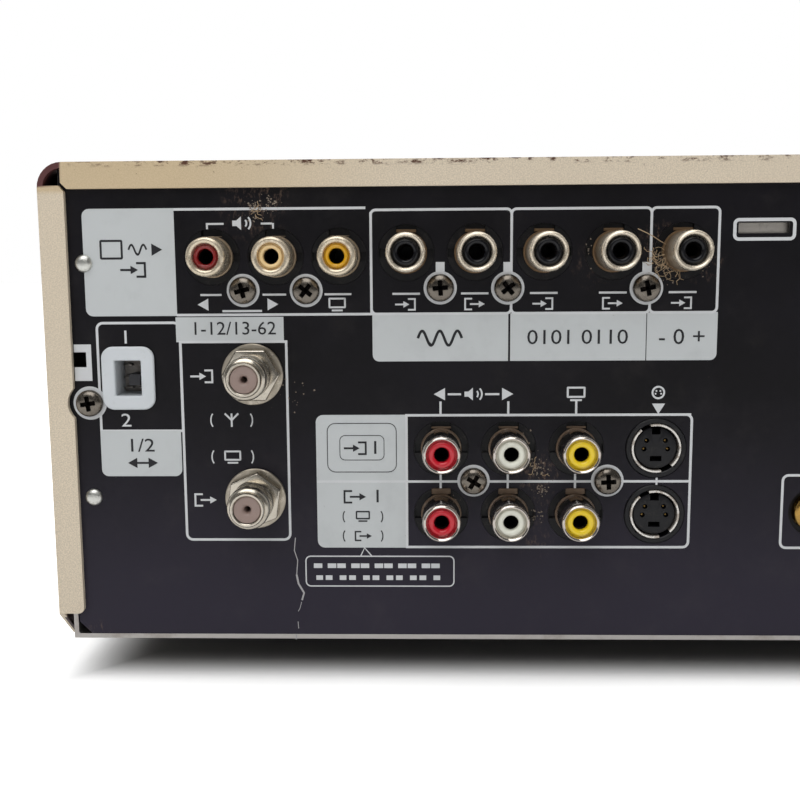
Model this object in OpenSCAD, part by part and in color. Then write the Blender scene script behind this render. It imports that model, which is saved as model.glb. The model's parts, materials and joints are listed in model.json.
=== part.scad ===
// Video cassette recorder for a shelf: steel casing, rear terminals, tape deck and front controls.
// +Z is up, the front faces -Y and the terminals face +Y. The origin lies on the shelf under the middle.

/* [Casing] */
// Width over the top cover
body_w = 430; // [430:1:520]
// Height from the chassis floor to the top of the cover, without the feet
body_h = 105.6; // [105:0.1:130]
// Depth from the front panel to the rear panel
body_d = 362; // [360:1:440]
// Height of the feet
foot_h = 10; // [6:0.5:20]
// Diameter of a foot
foot_d = 40; // [24:1:50]
// Distance of a foot's centre from the sides and from the rear
foot_inset = 52; // [40:1:80]
// Thickness of the cover's sheet
cover_t = 1.2; // [0.8:0.1:1.6]
// Radius of the cover's long bends
cover_r = 5.5; // [3:0.5:8]
// How far the cover's sides reach below the chassis
cover_drop = 1.3; // [0:0.1:3]
// Width of the cover's flanges over the rear panel
flange_w = 5.65; // [4.5:0.05:7]
// Gap between the cover's sides and the chassis
cover_gap = 1.6; // [1:0.1:3]
// Thickness of the chassis sheet
pan_t = 1.05; // [0.8:0.05:1.6]
// Thickness of the rear panel
panel_t = 1; // [0.8:0.1:1.6]
// Depth of the front bezel
bezel_d = 16; // [14:0.5:24]
// Wall of the front bezel
bezel_t = 2.5; // [2:0.1:3.5]

/* [Rear sockets] */
// Outer radius of an audio or video socket's sleeve
rca_r = 4.15; // [4.1:0.05:4.2]
// Inner radius of a decoder or front socket's sleeve
rca_in_r = 2.75; // [2.5:0.05:3.2]
// Inner radius of an audio or video socket's sleeve
av_in_r = 3.2; // [2.5:0.05:3.2]
// Inner radius of a black radio socket's sleeve
rf_in_r = 3.1; // [2.7:0.05:3.3]
// Radius of the contact hole in the insert
rca_hole_r = 1.6; // [1.5:0.05:1.8]
// Radius of the base flange under the sleeve
rca_flange_r = 4.45; // [4.4:0.05:5.5]
// How far the base flange stands over the panel
rca_base = 0.2; // [0.1:0.05:0.5]
// Radius of the panel's hole round a socket
rca_panel_r = 6.05; // [5.8:0.05:6.6]
// Spacing of the decoder sockets
dec_pitch = 13.7; // [13:0.1:15]
// Spacing of the radio sockets
rf_pitch = 14.7; // [14:0.1:16]
// Spacing of the audio and video sockets
av_pitch = 14.75; // [14:0.05:16]
// Spacing of the two rows of audio and video sockets
av_row = 14.7; // [14:0.1:16]
// How far the decoder sleeves stand out
dec_out = 7.6; // [6:0.1:10]
// How far the radio sleeves stand out
rf_out = 9.3; // [6:0.1:10]
// How far the audio and video sleeves stand out
av_out = 8.8; // [6:0.1:10]
// Distance from the yellow socket to the round multi-pin socket
sv_gap = 17.25; // [15:0.05:20]
// Outer radius of the round multi-pin socket's shield
sv_r = 5.4; // [5.2:0.05:5.6]
// Radius of the black body round that shield
sv_body_r = 6.55; // [6.3:0.05:6.8]
// How far the aerial connectors stand out
f_out = 12; // [10:0.5:14]
// Radius of an aerial connector's thread
f_r = 4.6; // [4.5:0.05:4.8]
// Radius of the washer under an aerial connector's nut
f_washer_r = 6.7; // [6:0.1:7.5]
// Depth of the socket housings behind the panel
jack_depth = 13; // [10:0.5:16]
// Distance between the first and the second audio and video block
av_step = 130; // [110:1:150]
// Distance of the mains inlet's centre from the right edge
inlet_from_edge = 35; // [30:1:50]

/* [Tape deck] */
// Height of the deck plate's underside over the chassis floor's underside
deck_lift = 28; // [27:0.5:32]
// Thickness of the deck plate
deck_t = 1.5; // [1.2:0.1:2]
// Width of a cassette
cas_w = 187; // [187:1:188]
// Height of a cassette
cas_h = 25; // [25:0.5:26]
// Depth of the cassette holder
hold_d = 100; // [90:1:104]
// Sheet of the holder and its carriage
hold_t = 1.2; // [1:0.1:1.5]
// How far the holder travels inwards
hold_in = 70; // [60:1:75]
// How far the holder travels down
hold_drop = 25; // [20:0.5:25]
// Spacing of the two reel tables
reel_gap = 92; // [90:1:94]
// Radius of a reel table
reel_r = 20; // [16:0.5:21]
// Radius of the head drum
drum_r = 31; // [28:0.1:34]
// Tilt of the head drum
drum_tilt = 6; // [0:0.5:8]
// Radius of the capstan's flywheel
fly_r = 24; // [15:0.5:28]
// Radius of the pinch roller
pinch_r = 6.5; // [5:0.5:8]
// Radius of the loading cam gear
cam_r = 20; // [14:0.5:20]
// Travel of the two loading sleds along Y
sled_travel = 70; // [60:1:72]

/* [Front] */
// Radius of the jog dial
jog_r = 17; // [14:0.5:20]
// Radius of the shuttle ring
shuttle_r = 24; // [22:0.5:26]
// How far the jog dial stands out
jog_out = 10; // [8:0.5:12]
// How far the shuttle ring stands out
shuttle_out = 5; // [3:0.5:7]
// Height of the front door's opening
door_h = 28.8; // [26:0.1:30]
// Width of the front door's opening
door_w = 246; // [200:1:250]
// Travel of a push button
key_travel = 0.8; // [0.5:0.1:1]
// Width of the display window
window_w = 120; // [80:1:160]
// Height of the display window
window_h = 16; // [12:0.5:18]

/* [Fits] */
// Gap between pieces that pass or sit beside each other
gap = 0.3; // [0.25:0.05:0.4]
// Radial clearance of a shaft in its bore
fit = 0.05; // [0.03:0.01:0.09]

/* [Hidden] */
$fn = 48;
x_out = body_w / 2;
z_pan = foot_h;
z_floor = z_pan + pan_t;
z_top = z_pan + body_h;
z_low = z_pan - cover_drop;
y_rear = (body_d + jog_out - f_out) / 2;
y_face = y_rear - body_d;
y_back = y_face + bezel_d;
y_in = y_rear - panel_t;
wall_x = x_out - cover_t - cover_gap;
wall_in = wall_x - pan_t;
bend_in = cover_r - cover_t;
wall_top = z_top - cover_r + sqrt(pow(bend_in, 2) - pow(max(0, bend_in - cover_gap), 2)) - gap;
panel_top = z_top - cover_t - gap;
board_t = 1.6;
standoff = 5;
board_z = z_floor + standoff;
board_top = board_z + board_t;
screw_r = 1.5;
head_r = 2.95;
pin_r = 2;
axle_r = 1.5;
rivet_r = 1.2;
board_hole_r = 1.6;
side_cut = 6.1;
vent_w = 3;
vent_pitch = 9;
case_screw_r = 2;
case_screw_y = [y_face + 72, y_rear - 60];
case_screw_z = z_pan + 52;

// Rear places are [distance from the left edge seen from behind, height over the chassis floor].
dec_u = 36.85;
dec_v = 85.35;
rf_u = 78.6;
rf_v = 86;
dec_tab = 4.75;
rf_tab = 4.95;
av_tab = [4.8, 5.65];
av_u = 86;
av_v = 43.5;
aerial_u = 45;
aerial_v = [60.05, 32.5];
dish_u = [185, 207];
dish_v = 84;
control_uv = [167.2, 29.2];
sw_uv = [17.75, 59.3];
sw_size = [11.65, 13.9];
sw_window = [5.7, 7.7];
sw_knob = [2.6, 2.5];
sw_knob_drop = 0.55;
sw_depth = 9;
sw_well = 6.5;
edge_screw_uv = [8.9, 53.8];
edge_notch_r = 4.6;
rivet_uv = [[8.95, 84.2], [8.8, 32.7]];
slot_uv = [154.25, 90.65];
slot_size = [10.8, 2.25];
notch_uv = [6.5, 63.35];
notch_size = [3.9, 3.3];
block_screws = [[43.37, 78.2], [57, 78.1], [85.85, 78.5], [100.3, 78.4], [129.8, 78.2],
    [93.1, 36.3], [122.35, 36.3], [93.1 + av_step, 36.3], [122.35 + av_step, 36.3]];
inlet_uv = [body_w - inlet_from_edge, 30];
inlet_half = 3.2;
inlet_pin_gap = 8.6;
inlet_depth = 14;
inlet_wall = inlet_half + 1.2;
sw_neck = sw_size - [2.6, 2.6];
f_in_r = 2.97;
control_r = 4.2;
control_hole_r = 1.8;
control_depth = 8;
sv_depth = 9;
sv_core_r = 4;
sv_shield_t = 0.55;

// [place, protrusion, inner radius, height of the earth tab] of every rear sleeve, by its insert's colour
dec_row = [for (i = [0:2]) [dec_u + i * dec_pitch, dec_v, dec_out, rca_in_r, dec_tab]];
function av_col(i) = [for (s = [0, av_step], r = [0, 1])
    [av_u + s + i * av_pitch, av_v - r * av_row, av_out, av_in_r, av_tab[r]]];
red_uv = concat([dec_row[0]], av_col(0));
white_uv = concat([dec_row[1]], av_col(1));
yellow_uv = concat([dec_row[2]], av_col(2));
black_uv = [for (i = [0:4]) [rf_u + i * rf_pitch, rf_v, rf_out, rf_in_r, rf_tab]];
rear_rca = concat(red_uv, white_uv, yellow_uv, black_uv);
sv_uv = [for (s = [0, av_step], v = [av_v, av_v - av_row]) [av_u + s + 2 * av_pitch + sv_gap, v]];
aerials = concat([for (v = aerial_v) [aerial_u, v]], [for (u = dish_u) [u, dish_v]]);

// Housings behind the panel: [u low, v low, u high, v high]
block_edge = 7.2;
tab_w = 4.3;
upper_v = [74.5, 93.5];
blocks = [
    [dec_u - block_edge, upper_v[0], dec_u + 2 * dec_pitch + block_edge - 0.2, upper_v[1]],
    [rf_u - block_edge + 0.2, upper_v[0], rf_u + 4 * rf_pitch + block_edge, upper_v[1]],
    for (s = [0, av_step]) [av_u - block_edge + s, av_v - av_row - block_edge,
        av_u + 2 * av_pitch + sv_gap + block_edge + s, av_v + block_edge],
    [control_uv[0] - 5.5, control_uv[1] - 5.5, control_uv[0] + 5.5, control_uv[1] + 5.5]
];
jack_board_y = y_in - jack_depth - board_t;
main_x = [x_out - 300, x_out - 14];
power_x = [-wall_in + 8, -wall_in + 88];
power_y = [y_rear - 140, y_rear - 24];
power_holes = [for (x = [power_x[0] + 6, power_x[1] - 6], y = [power_y[0] + 6, power_y[1] - 6]) [x, y]];
tuner_depth = 28;
tuner_u = [30, 60];
tuner_top = 70;
dish_can_u = [dish_u[0] - 9, dish_u[1] + 9];
dish_can_v = [dish_v - 12, dish_v + 12];

// Deck heights
deck_z = z_pan + deck_lift;
deck_top = deck_z + deck_t;
deck_x = 118;
deck_y0 = y_face + 32;
deck_y1 = deck_y0 + 272;
main_y = [deck_y1 - 3, y_in - 1];
main_holes = [for (x = [main_x[0] + 6, main_x[1] - 6], y = [main_y[0] + 6, main_y[1] - 8]) [x, y]];
post_in = [8, 10];
hold_y0 = y_face + 38;
hold_y1 = hold_y0 + hold_d;
hold_z = deck_top + 6 + hold_drop;
hold_in_w = cas_w / 2 + 1;
hold_w = hold_in_w + hold_t;
hold_h = cas_h + 2 + 2 * hold_t;
hold_lip = 14.5;
slide_x = hold_w + 1.5;
rail_x = slide_x + hold_t + 2;
rail_t = 1.5;
slide_y0 = hold_y0 + 4;
slide_len = 80;
slide_bar_z = hold_z + hold_h + 1.5;
slide_low = deck_top + 10.5;
rail_pin_y = [slide_y0 + 6, slide_y0 + slide_len - 6];
rail_pin_z = [slide_bar_z - 5.4, slide_low + 4.5];
hold_pin_y = [hold_y0 + 22, hold_y0 + 66];
hold_pin_z = hold_z + 14.5;
reel_y = hold_y0 + hold_in + 45.5;
reel_x = reel_gap / 2;
reel_z = deck_top + 0.8;
drum_y = reel_y + 108.5;
drum_lift = 6;
drum_base_h = 16;
drum_top_h = 18;
shaft_r = 3;
cap_xy = [60, drum_y - 36];
cap_top = deck_top + 24;
fly_z = deck_z - 14;
fly_h = 6;
pinch_piv = [86, drum_y - 22];
pinch_dir = -116.75;
pinch_len = 34.58;
arm_z = deck_top + 0.5;
idler_len = 40;
idler_r = 9;
sled_x = [34, 41];
sled_y0 = hold_y0 + hold_in + hold_d - 12;
sled_size = [12, 14, 4];
pole_top = deck_top + 22.5;
tension_piv = [-82, sled_y0 + 6];
tension_len = 28;
tension_dir = -8;
cam_xy = [-92, drum_y - 5];
cam_lift = 8.5;
cam_h = 6;
cam_teeth = 30;
worm_r = 4.6;
worm_y = cam_xy[1] + cam_r + 0.4 + worm_r;
worm_z = deck_top + cam_lift + cam_h / 2 + 0.5;
motor_r = 10;
motor_x = [cam_xy[0] + 16, cam_xy[0] + 42];
motor_shaft_x = motor_x[0] + 5.5;
worm_foot_x = [cam_xy[0] - 14.5, cam_xy[0] - 11.5];

// Front places are [x, z].
front_board_y = y_back + 6;
slot_half = hold_w + 2.8;
slot_z0 = hold_z + 0.2;
slot_h = cas_h + 4.05;
leaf_r = bezel_t / 2;
leaf_y = y_face + leaf_r;
flap_axis_z = slot_z0 + slot_h - gap - leaf_r;
door_x0 = -148;
door_x1 = door_x0 + door_w;
door_z0 = z_pan + 5.5;
door_axis_z = door_z0 + gap + leaf_r;
recess_y = y_face + 14;
recess_t = 2;
lug = 3.5;
leaf_pin_r = 0.8;
leaf_pin_len = 2.2;
window_xz = [0, z_pan + 48];
window_t = 1.8;
jog_xz = [158, z_pan + 32];
encoder_r = 8;
encoder_in = 6;
keys = [
    ["power_button", -180, 94, 24, 9],
    ["eject_button", 120, 101, 18, 6],
    ["rewind_button", 120, 86, 18, 8],
    ["play_button", 142, 86, 22, 8],
    ["forward_button", 164, 86, 18, 8],
    ["stop_button", 120, 73, 18, 8],
    ["pause_button", 142, 73, 22, 8],
    ["record_button", 164, 73, 18, 8]
];
key_out = 1.2;
key_depth = 6;
key_switch_h = 4.3;
front_rca_x = [-136, -122, -108];
front_sv_x = -92;
front_row_z = z_pan + 20;
front_out = 8;
rocker_x = -50;
rocker_size = [24, 9];
out_sw_x = -15;
out_sw_travel = 4;
out_sw_slot = out_sw_travel + 4;
out_sw_well = 4;
out_sw_knob_h = 4;
rocker_axis_y = recess_y + recess_t + 1.5;
lug_y = [y_face + 1, y_face + 6];

// ---- Helpers ----

function arc(c, r, a0, a1, n = 8) =
    [for (i = [0:n]) let (a = a0 + (a1 - a0) * i / n) [c[0] + r * cos(a), c[1] + r * sin(a)]];
function round_rect(w, h, r) = concat(
    arc([w / 2 - r, h / 2 - r], r, 0, 90), arc([-w / 2 + r, h / 2 - r], r, 90, 180),
    arc([-w / 2 + r, -h / 2 + r], r, 180, 270), arc([w / 2 - r, -h / 2 + r], r, 270, 360));
function gear_outline(r, teeth, depth) = [for (i = [0:teeth - 1], k = [0:3])
    let (a = (i + [0, 0.28, 0.5, 0.78][k]) * 360 / teeth, q = k < 2 ? r : r - depth)
    [q * cos(a), q * sin(a)]];

// Box from its low corner to its high corner
module block(lo, hi) translate(lo) cube(hi - lo);

// A place on the rear panel's outer face, with +Y pointing out of the machine
module at_rear(u, v, y = 0) translate([x_out - u, y_rear + y, z_pan + v]) children();

// A place on the recess wall behind the front door, with +Y pointing out of the machine
module at_front(x, z) translate([x, recess_y, z]) rotate([0, 0, 180]) children();

// Cylinder along +Y from y0 to y1
module rod_y(r, y0, y1) translate([0, y0, 0]) rotate([-90, 0, 0]) cylinder(r = r, h = y1 - y0);

// Cylinder along +X from x0 to x1
module rod_x(r, x0, x1) translate([x0, 0, 0]) rotate([0, 90, 0]) cylinder(r = r, h = x1 - x0);

// Cylinder along +Z from z0 to z1
module rod_z(r, z0, z1) translate([0, 0, z0]) cylinder(r = r, h = z1 - z0);

// Outline in X and Z, extruded from y0 to y1
module plate_y(points, y0, y1)
    translate([0, y1, 0]) rotate([90, 0, 0]) linear_extrude(height = y1 - y0) polygon(points);

// Outline turned round the Z axis: [radius, z] pairs
module turned(points) rotate_extrude() polygon(points);

// Outline turned round the Y axis: [radius, y] pairs
module turned_y(points) rotate([-90, 0, 0]) rotate_extrude() polygon(points);

// Round-ended slot through X, from y0 to y1 at one height
module slot_x(r, y0, y1, x0, x1) {
    for (y = [y0, y1]) translate([0, y, 0]) rod_x(r, x0, x1);
    block([x0, y0, -r], [x1, y1, r]);
}

// Rectangular cutter [width, height] centred on the Y axis, from y0 to y1
module window(size, y0, y1) block([-size[0] / 2, y0, -size[1] / 2], [size[0] / 2, y1, size[1] / 2]);

module both_sides() for (s = [0, 1]) mirror([s, 0, 0]) children();

// ---- Casing ----

module cover_outline() polygon(concat(
    [[x_out, z_low]], arc([x_out - cover_r, z_top - cover_r], cover_r, 0, 90),
    arc([-x_out + cover_r, z_top - cover_r], cover_r, 90, 180),
    [[-x_out, z_low], [-x_out + cover_t, z_low]],
    arc([-x_out + cover_r, z_top - cover_r], bend_in, 180, 90),
    arc([x_out - cover_r, z_top - cover_r], bend_in, 90, 0), [[x_out - cover_t, z_low]]));

// Flanges bent over the rear panel, with open corners between the top one and the side ones
module rear_flanges() {
    top_x = x_out - 5.05;
    low_z = z_top - flange_w;
    side_x = x_out - flange_w;
    cut = 1.3;
    weld = 0.05;
    plate_y([[-top_x, low_z + cut], [-top_x + cut, low_z], [top_x - cut, low_z], [top_x, low_z + cut],
        [top_x, z_top - weld], [-top_x, z_top - weld]], y_rear, y_rear + cover_t);
    side_z = [z_pan + side_cut, low_z + 0.7];
    both_sides() difference() {
        plate_y(concat([[x_out - weld, side_z[0]], [x_out - weld, side_z[1]], [side_x + 1.1, side_z[1]],
            [side_x, side_z[1] - cut]],
            arc([side_x + cut, side_z[0] + cut], cut, 180, 270, 6)), y_rear, y_rear + cover_t);
        at_rear(edge_screw_uv[0], edge_screw_uv[1]) rod_y(edge_notch_r, -1, cover_t + 1);
    }
}

module top_cover() color("#c6bca6") difference() {
    union() {
        translate([0, y_rear + cover_t, 0]) rotate([90, 0, 0])
            linear_extrude(height = y_rear + cover_t - y_back - gap) cover_outline();
        rear_flanges();
    }
    // rear lower corner of each side, cut on the slant
    both_sides() rotate([90, 0, 90]) translate([0, 0, x_out - cover_t - 0.1])
        linear_extrude(height = cover_t + 0.2) polygon([[y_rear + cover_t + 0.1, z_pan + side_cut],
            [y_rear - 7.1, z_low - 0.1], [y_rear + cover_t + 0.1, z_low - 0.1]]);
    // vent slots over the power board's half and the boards' half
    for (i = [0:11]) both_sides() translate([60 + vent_pitch * i, y_rear - 75, z_top - cover_t - 0.1])
        cube([vent_w, 42, cover_t + 0.3]);
    both_sides() for (y = case_screw_y) translate([0, y, case_screw_z])
        rod_x(case_screw_r + 0.2, wall_x, x_out + 1);
}

module base_pan() color("#b9bcbb") {
    post_r = 5;
    difference() {
        union() {
            block([-wall_x, y_back + gap, z_pan], [wall_x, y_rear, z_floor]);
            both_sides() {
                block([wall_in, y_back + gap, z_pan], [wall_x, y_rear, wall_top]);
                // tab behind the rear panel that takes the edge screw and the rivets
                block([wall_in - 7.8, y_in - pan_t, z_pan + 28], [wall_x, y_in, z_pan + 90]);
                // folded gusset in the lower corner
                plate_y([[wall_x, z_pan], [wall_x, z_pan + 2.6], [wall_x - 2.4, z_pan]], y_in, y_rear);
            }
            block([-wall_in, front_board_y + board_t, z_pan],
                [wall_in, front_board_y + board_t + pan_t, z_pan + 22]);
            for (x = [-1, 1], y = [deck_y0 + post_in[1], deck_y1 - post_in[1]])
                translate([x * (deck_x - post_in[0]), y, 0]) rod_z(post_r, z_pan, deck_z);
            for (p = concat(main_holes, power_holes)) translate([p[0], p[1], 0]) rod_z(3, z_pan, board_z);
        }
        both_sides() {
            block([wall_in - 1, y_rear - 3.5, z_top - 8], [wall_x + 1, y_rear + 1, z_top]);
            for (y = case_screw_y) translate([0, y, case_screw_z])
                rod_x(case_screw_r + fit, wall_in - 1, wall_x + 1);
            at_rear(edge_screw_uv[0], edge_screw_uv[1]) rod_y(screw_r + fit, -panel_t - pan_t - 1, 1);
            for (p = rivet_uv) at_rear(p[0], p[1]) rod_y(rivet_r + fit, -panel_t - pan_t - 1, 1);
            at_rear(notch_uv[0], notch_uv[1], -5) window(notch_size, 0, 10);
        }
        // vents under the deck
        for (i = [0:9]) translate([-70 + 14 * i, y_face + 60, z_pan - 1]) cube([4, 60, pan_t + 2]);
    }
}

module rear_panel() color("#26242b") difference() {
    half = wall_in - gap;
    cut = 2.8;
    deep = -panel_t - 1;
    plate_y([[-half + cut, z_floor], [half - cut, z_floor], [half, z_floor + cut], [half, panel_top],
        [-half, panel_top], [-half, z_floor + cut]], y_in, y_rear);
    for (p = rear_rca) at_rear(p[0], p[1]) rod_y(rca_panel_r, deep, 1);
    for (p = sv_uv) at_rear(p[0], p[1]) rod_y(sv_body_r + 0.1, deep, 1);
    for (p = aerials) at_rear(p[0], p[1]) rod_y(f_r + 0.1, deep, 1);
    for (p = block_screws) at_rear(p[0], p[1]) rod_y(screw_r + 0.2, deep, 1);
    both_sides() {
        at_rear(edge_screw_uv[0], edge_screw_uv[1]) rod_y(screw_r + 0.2, deep, 1);
        for (p = rivet_uv) at_rear(p[0], p[1]) rod_y(rivet_r + fit, deep, 1);
        at_rear(notch_uv[0], notch_uv[1]) window(notch_size, deep, 1);
    }
    at_rear(slot_uv[0], slot_uv[1]) window(slot_size, deep, 1);
    at_rear(sw_uv[0], sw_uv[1]) window(sw_neck + [0.2, 0.2], deep, 1);
    at_rear(control_uv[0], control_uv[1]) rod_y(control_r + 1.1, deep, 1);
    at_rear(inlet_uv[0], inlet_uv[1]) inlet_shape(inlet_wall + 0.1, deep, 1);
    for (i = [0:11], v = [56, 74]) at_rear(body_w - 24 - 8 * i, v, deep) cube([2.8, panel_t + 2, 13]);
}

// Each foot stands on a ring round a shallow hollow.
module feet() color("#1c1c1e") for (x = [-1, 1], y = [y_face + foot_inset - 12, y_rear - foot_inset])
    translate([x * (x_out - foot_inset), y, 0]) turned([[0, 1.5], [foot_d / 2 - 6, 1.5], [foot_d / 2 - 6, 0],
        [foot_d / 2 - 1, 0], [foot_d / 2, 1], [foot_d / 2, foot_h - 2.5], [foot_d / 2 - 2, foot_h],
        [0, foot_h]]);

// Pan-head screw with a cross recess, its head on y = 0 and its shank towards -Y
module screw(r, hr, h, len, turn = 0) difference() {
    union() {
        turned_y([[0, 0], [hr, 0], [hr, 0.45 * h], [0.86 * hr, 0.8 * h], [0.6 * hr, 0.96 * h], [0, h]]);
        rod_y(r, -len, 0.2);
    }
    rotate([0, turn, 0]) for (a = [0, 90]) rotate([0, a, 0])
        translate([-0.16 * hr, 0.35 * h, -0.52 * hr]) cube([0.32 * hr, h, 1.04 * hr]);
}

module case_screws() color("#26262a") both_sides() for (y = case_screw_y)
    translate([x_out, y, case_screw_z]) rotate([0, 0, -90]) screw(case_screw_r, 4, 1.8, 7, 20);

module panel_screws() color("#4a4645") {
    for (i = [0:len(block_screws) - 1]) at_rear(block_screws[i][0], block_screws[i][1])
        screw(screw_r, head_r, 1.9, panel_t + 6, 37 * i);
    both_sides() at_rear(edge_screw_uv[0], edge_screw_uv[1]) screw(screw_r, head_r, 1.9, panel_t + 3, 8);
}

module panel_rivets() color("#d8d8d2") both_sides() for (p = rivet_uv) at_rear(p[0], p[1]) {
    turned_y([[0, 0], [1.9, 0], [1.85, 0.35], [1.45, 0.75], [0.8, 1], [0, 1.05]]);
    rod_y(rivet_r, -panel_t - pan_t - 1.5, 0.1);
}

// ---- Rear sockets ----

// Raised ring of a housing that fills the panel's hole, open for the earth tab and notched at both sides
module rca_boss() difference() {
    turned_y([[rca_flange_r + fit, -panel_t - 0.5], [rca_panel_r - 0.05, -panel_t - 0.5],
        [rca_panel_r - 0.05, -0.1], [rca_flange_r + fit, -0.1]]);
    window([2 * rca_panel_r - 0.5, 1.9], -panel_t, 1);
    translate([-tab_w / 2 - fit, -panel_t, 0]) cube([tab_w + 2 * fit, panel_t + 1, rca_panel_r]);
}

module jack_blocks() color("#151517") difference() {
    union() {
        for (b = blocks) translate([x_out - b[2], y_in - jack_depth, z_pan + b[1]])
            cube([b[2] - b[0], jack_depth, b[3] - b[1]]);
        for (p = rear_rca) at_rear(p[0], p[1]) rca_boss();
        block([front_rca_x[0] - block_edge, y_back, front_row_z - block_edge],
            [front_sv_x + block_edge + 1, front_board_y, front_row_z + block_edge]);
    }
    for (p = rear_rca) at_rear(p[0], p[1]) rod_y(rca_hole_r, -panel_t - 6, 0);
    for (p = sv_uv) at_rear(p[0], p[1]) rod_y(sv_body_r + 0.02, -panel_t - sv_depth, 0);
    for (p = block_screws) at_rear(p[0], p[1]) rod_y(screw_r + 0.03, -panel_t - 6.5, 0);
    at_rear(control_uv[0], control_uv[1]) rod_y(control_r + fit, -panel_t - control_depth, 0);
}

// Plated sleeve of a socket with its base flange and earth tab, on a housing at y = -t
module rca_shell(out, in_r, t, tab) {
    lip = 0.5;
    turned_y([[in_r, -t], [rca_flange_r, -t], [rca_flange_r, rca_base], [rca_r, rca_base], [rca_r, out - lip],
        [rca_r - lip, out], [in_r + 0.4, out], [in_r, out - 0.4]]);
    difference() {
        translate([-tab_w / 2, -t, 0]) cube([tab_w, 0.4, tab]);
        rod_y(rca_flange_r - 0.1, -t - 1, 1);
    }
}

// Coloured insert of a sleeve
module rca_insert(out, in_r, t) {
    r = in_r - 0.03;
    turned_y([[rca_hole_r, -t], [r, -t], [r, out - 1], [r - 0.4, out - 0.6], [rca_hole_r + 0.5, out - 0.6],
        [rca_hole_r, out - 1.1]]);
}

module rear_inserts(list) for (p = list) at_rear(p[0], p[1]) rca_insert(p[2], p[3], panel_t);
module front_insert(i) at_front(front_rca_x[i], front_row_z) rca_insert(front_out, rca_in_r, recess_t);

module jack_shells() color("#c3bfb4") {
    for (p = rear_rca) at_rear(p[0], p[1]) rca_shell(p[2], p[3], panel_t, p[4]);
    for (x = front_rca_x) at_front(x, front_row_z) rca_shell(front_out, rca_in_r, recess_t, dec_tab);
}
module jack_inserts_red() color("#c02636") {
    rear_inserts(red_uv);
    front_insert(0);
}
module jack_inserts_white() color("#e8e2cf") {
    rear_inserts(white_uv);
    front_insert(1);
}
module jack_inserts_yellow() color("#e2bd22") {
    rear_inserts(yellow_uv);
    front_insert(2);
}

// Black body of the round multi-pin socket: a cup with a core that has four contact holes and a key slot
module sv_body(back) difference() {
    rod_y(sv_body_r, back, 0.3);
    difference() {
        rod_y(sv_r + fit, back + 1, 1);
        rod_y(sv_core_r, back, 0);
    }
    for (p = [[2.03, 1.67], [2.56, -0.2]], s = [-1, 1]) translate([s * p[0], 0, p[1]])
        rod_y(0.55, back + 1.5, 1);
    translate([-1.25, back + 1.5, -2.9]) cube([2.5, -back, 1.15]);
    translate([-0.85, back + 1.5, 2.6]) cube([1.7, -back, 2]);
}

module sv_shield(back) difference() {
    rod_y(sv_r, back + 1, 0.6);
    rod_y(sv_r - sv_shield_t, back, 1);
    translate([-0.85, back, 3]) cube([1.7, 1 - back, 4]);
}

module jack_inserts_black() color("#141416") {
    rear_inserts(black_uv);
    for (p = sv_uv) at_rear(p[0], p[1]) sv_body(-panel_t - sv_depth);
    at_front(front_sv_x, front_row_z) sv_body(-recess_t);
}

module svideo_shields() color("#b4b4ae") {
    for (p = sv_uv) at_rear(p[0], p[1]) sv_shield(-panel_t - sv_depth);
    at_front(front_sv_x, front_row_z) sv_shield(-recess_t);
}

// Threaded aerial connector with a washer, a hexagon nut, a stepped end and an insulator in its bore
module f_connectors() color("#b9b4a4") for (p = aerials) at_rear(p[0], p[1]) {
    lip_r = f_r - 0.9;
    nut_y = [0.8, 3.4];
    difference() {
        union() {
            turned_y([[f_in_r, -panel_t], [f_r, -panel_t], [f_r, 0.2], [f_washer_r, 0.2], [f_washer_r, 0.9],
                [f_r, 0.9], [f_r, f_out - 1.2], [lip_r, f_out - 0.9], [lip_r, f_out], [f_in_r, f_out]]);
            difference() {
                translate([0, nut_y[1], 0]) rotate([90, 0, 0])
                    cylinder(r = f_washer_r - 0.35, h = nut_y[1] - nut_y[0], $fn = 6);
                rod_y(f_r - 0.2, 0, nut_y[1] + 1);
            }
        }
        rod_y(f_in_r, -panel_t - 1, f_out + 1);
    }
    core_r = f_in_r - 0.03;
    turned_y([[0.75, -panel_t], [core_r, -panel_t], [core_r, f_out - 0.4], [0.75, f_out - 0.9]]);
}

module control_jack() color("#b58f45") at_rear(control_uv[0], control_uv[1])
    turned_y([[control_hole_r, -panel_t - control_depth], [control_r, -panel_t - control_depth],
        [control_r, 0.6], [control_r - 0.6, 1.1], [control_hole_r + 0.4, 1.1], [control_hole_r, 0.7]]);

// Figure-of-eight prism of the mains inlet
module inlet_shape(r, y0, y1) {
    for (s = [-1, 1]) translate([s * inlet_pin_gap / 2, 0, 0]) rod_y(r, y0, y1);
    block([-inlet_pin_gap / 2, y0, -r], [inlet_pin_gap / 2, y1, r]);
}
module ac_inlet() color("#17171a") at_rear(inlet_uv[0], inlet_uv[1]) {
    difference() {
        union() {
            inlet_shape(inlet_wall, -panel_t - inlet_depth, 1);
            block([-13, -panel_t - 3, -7.5], [13, -panel_t, 7.5]);
        }
        inlet_shape(inlet_half, 1 - inlet_depth, 2);
    }
    for (s = [-1, 1]) translate([s * inlet_pin_gap / 2, 0, 0]) rod_y(1.2, -inlet_depth, -2);
}

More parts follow.
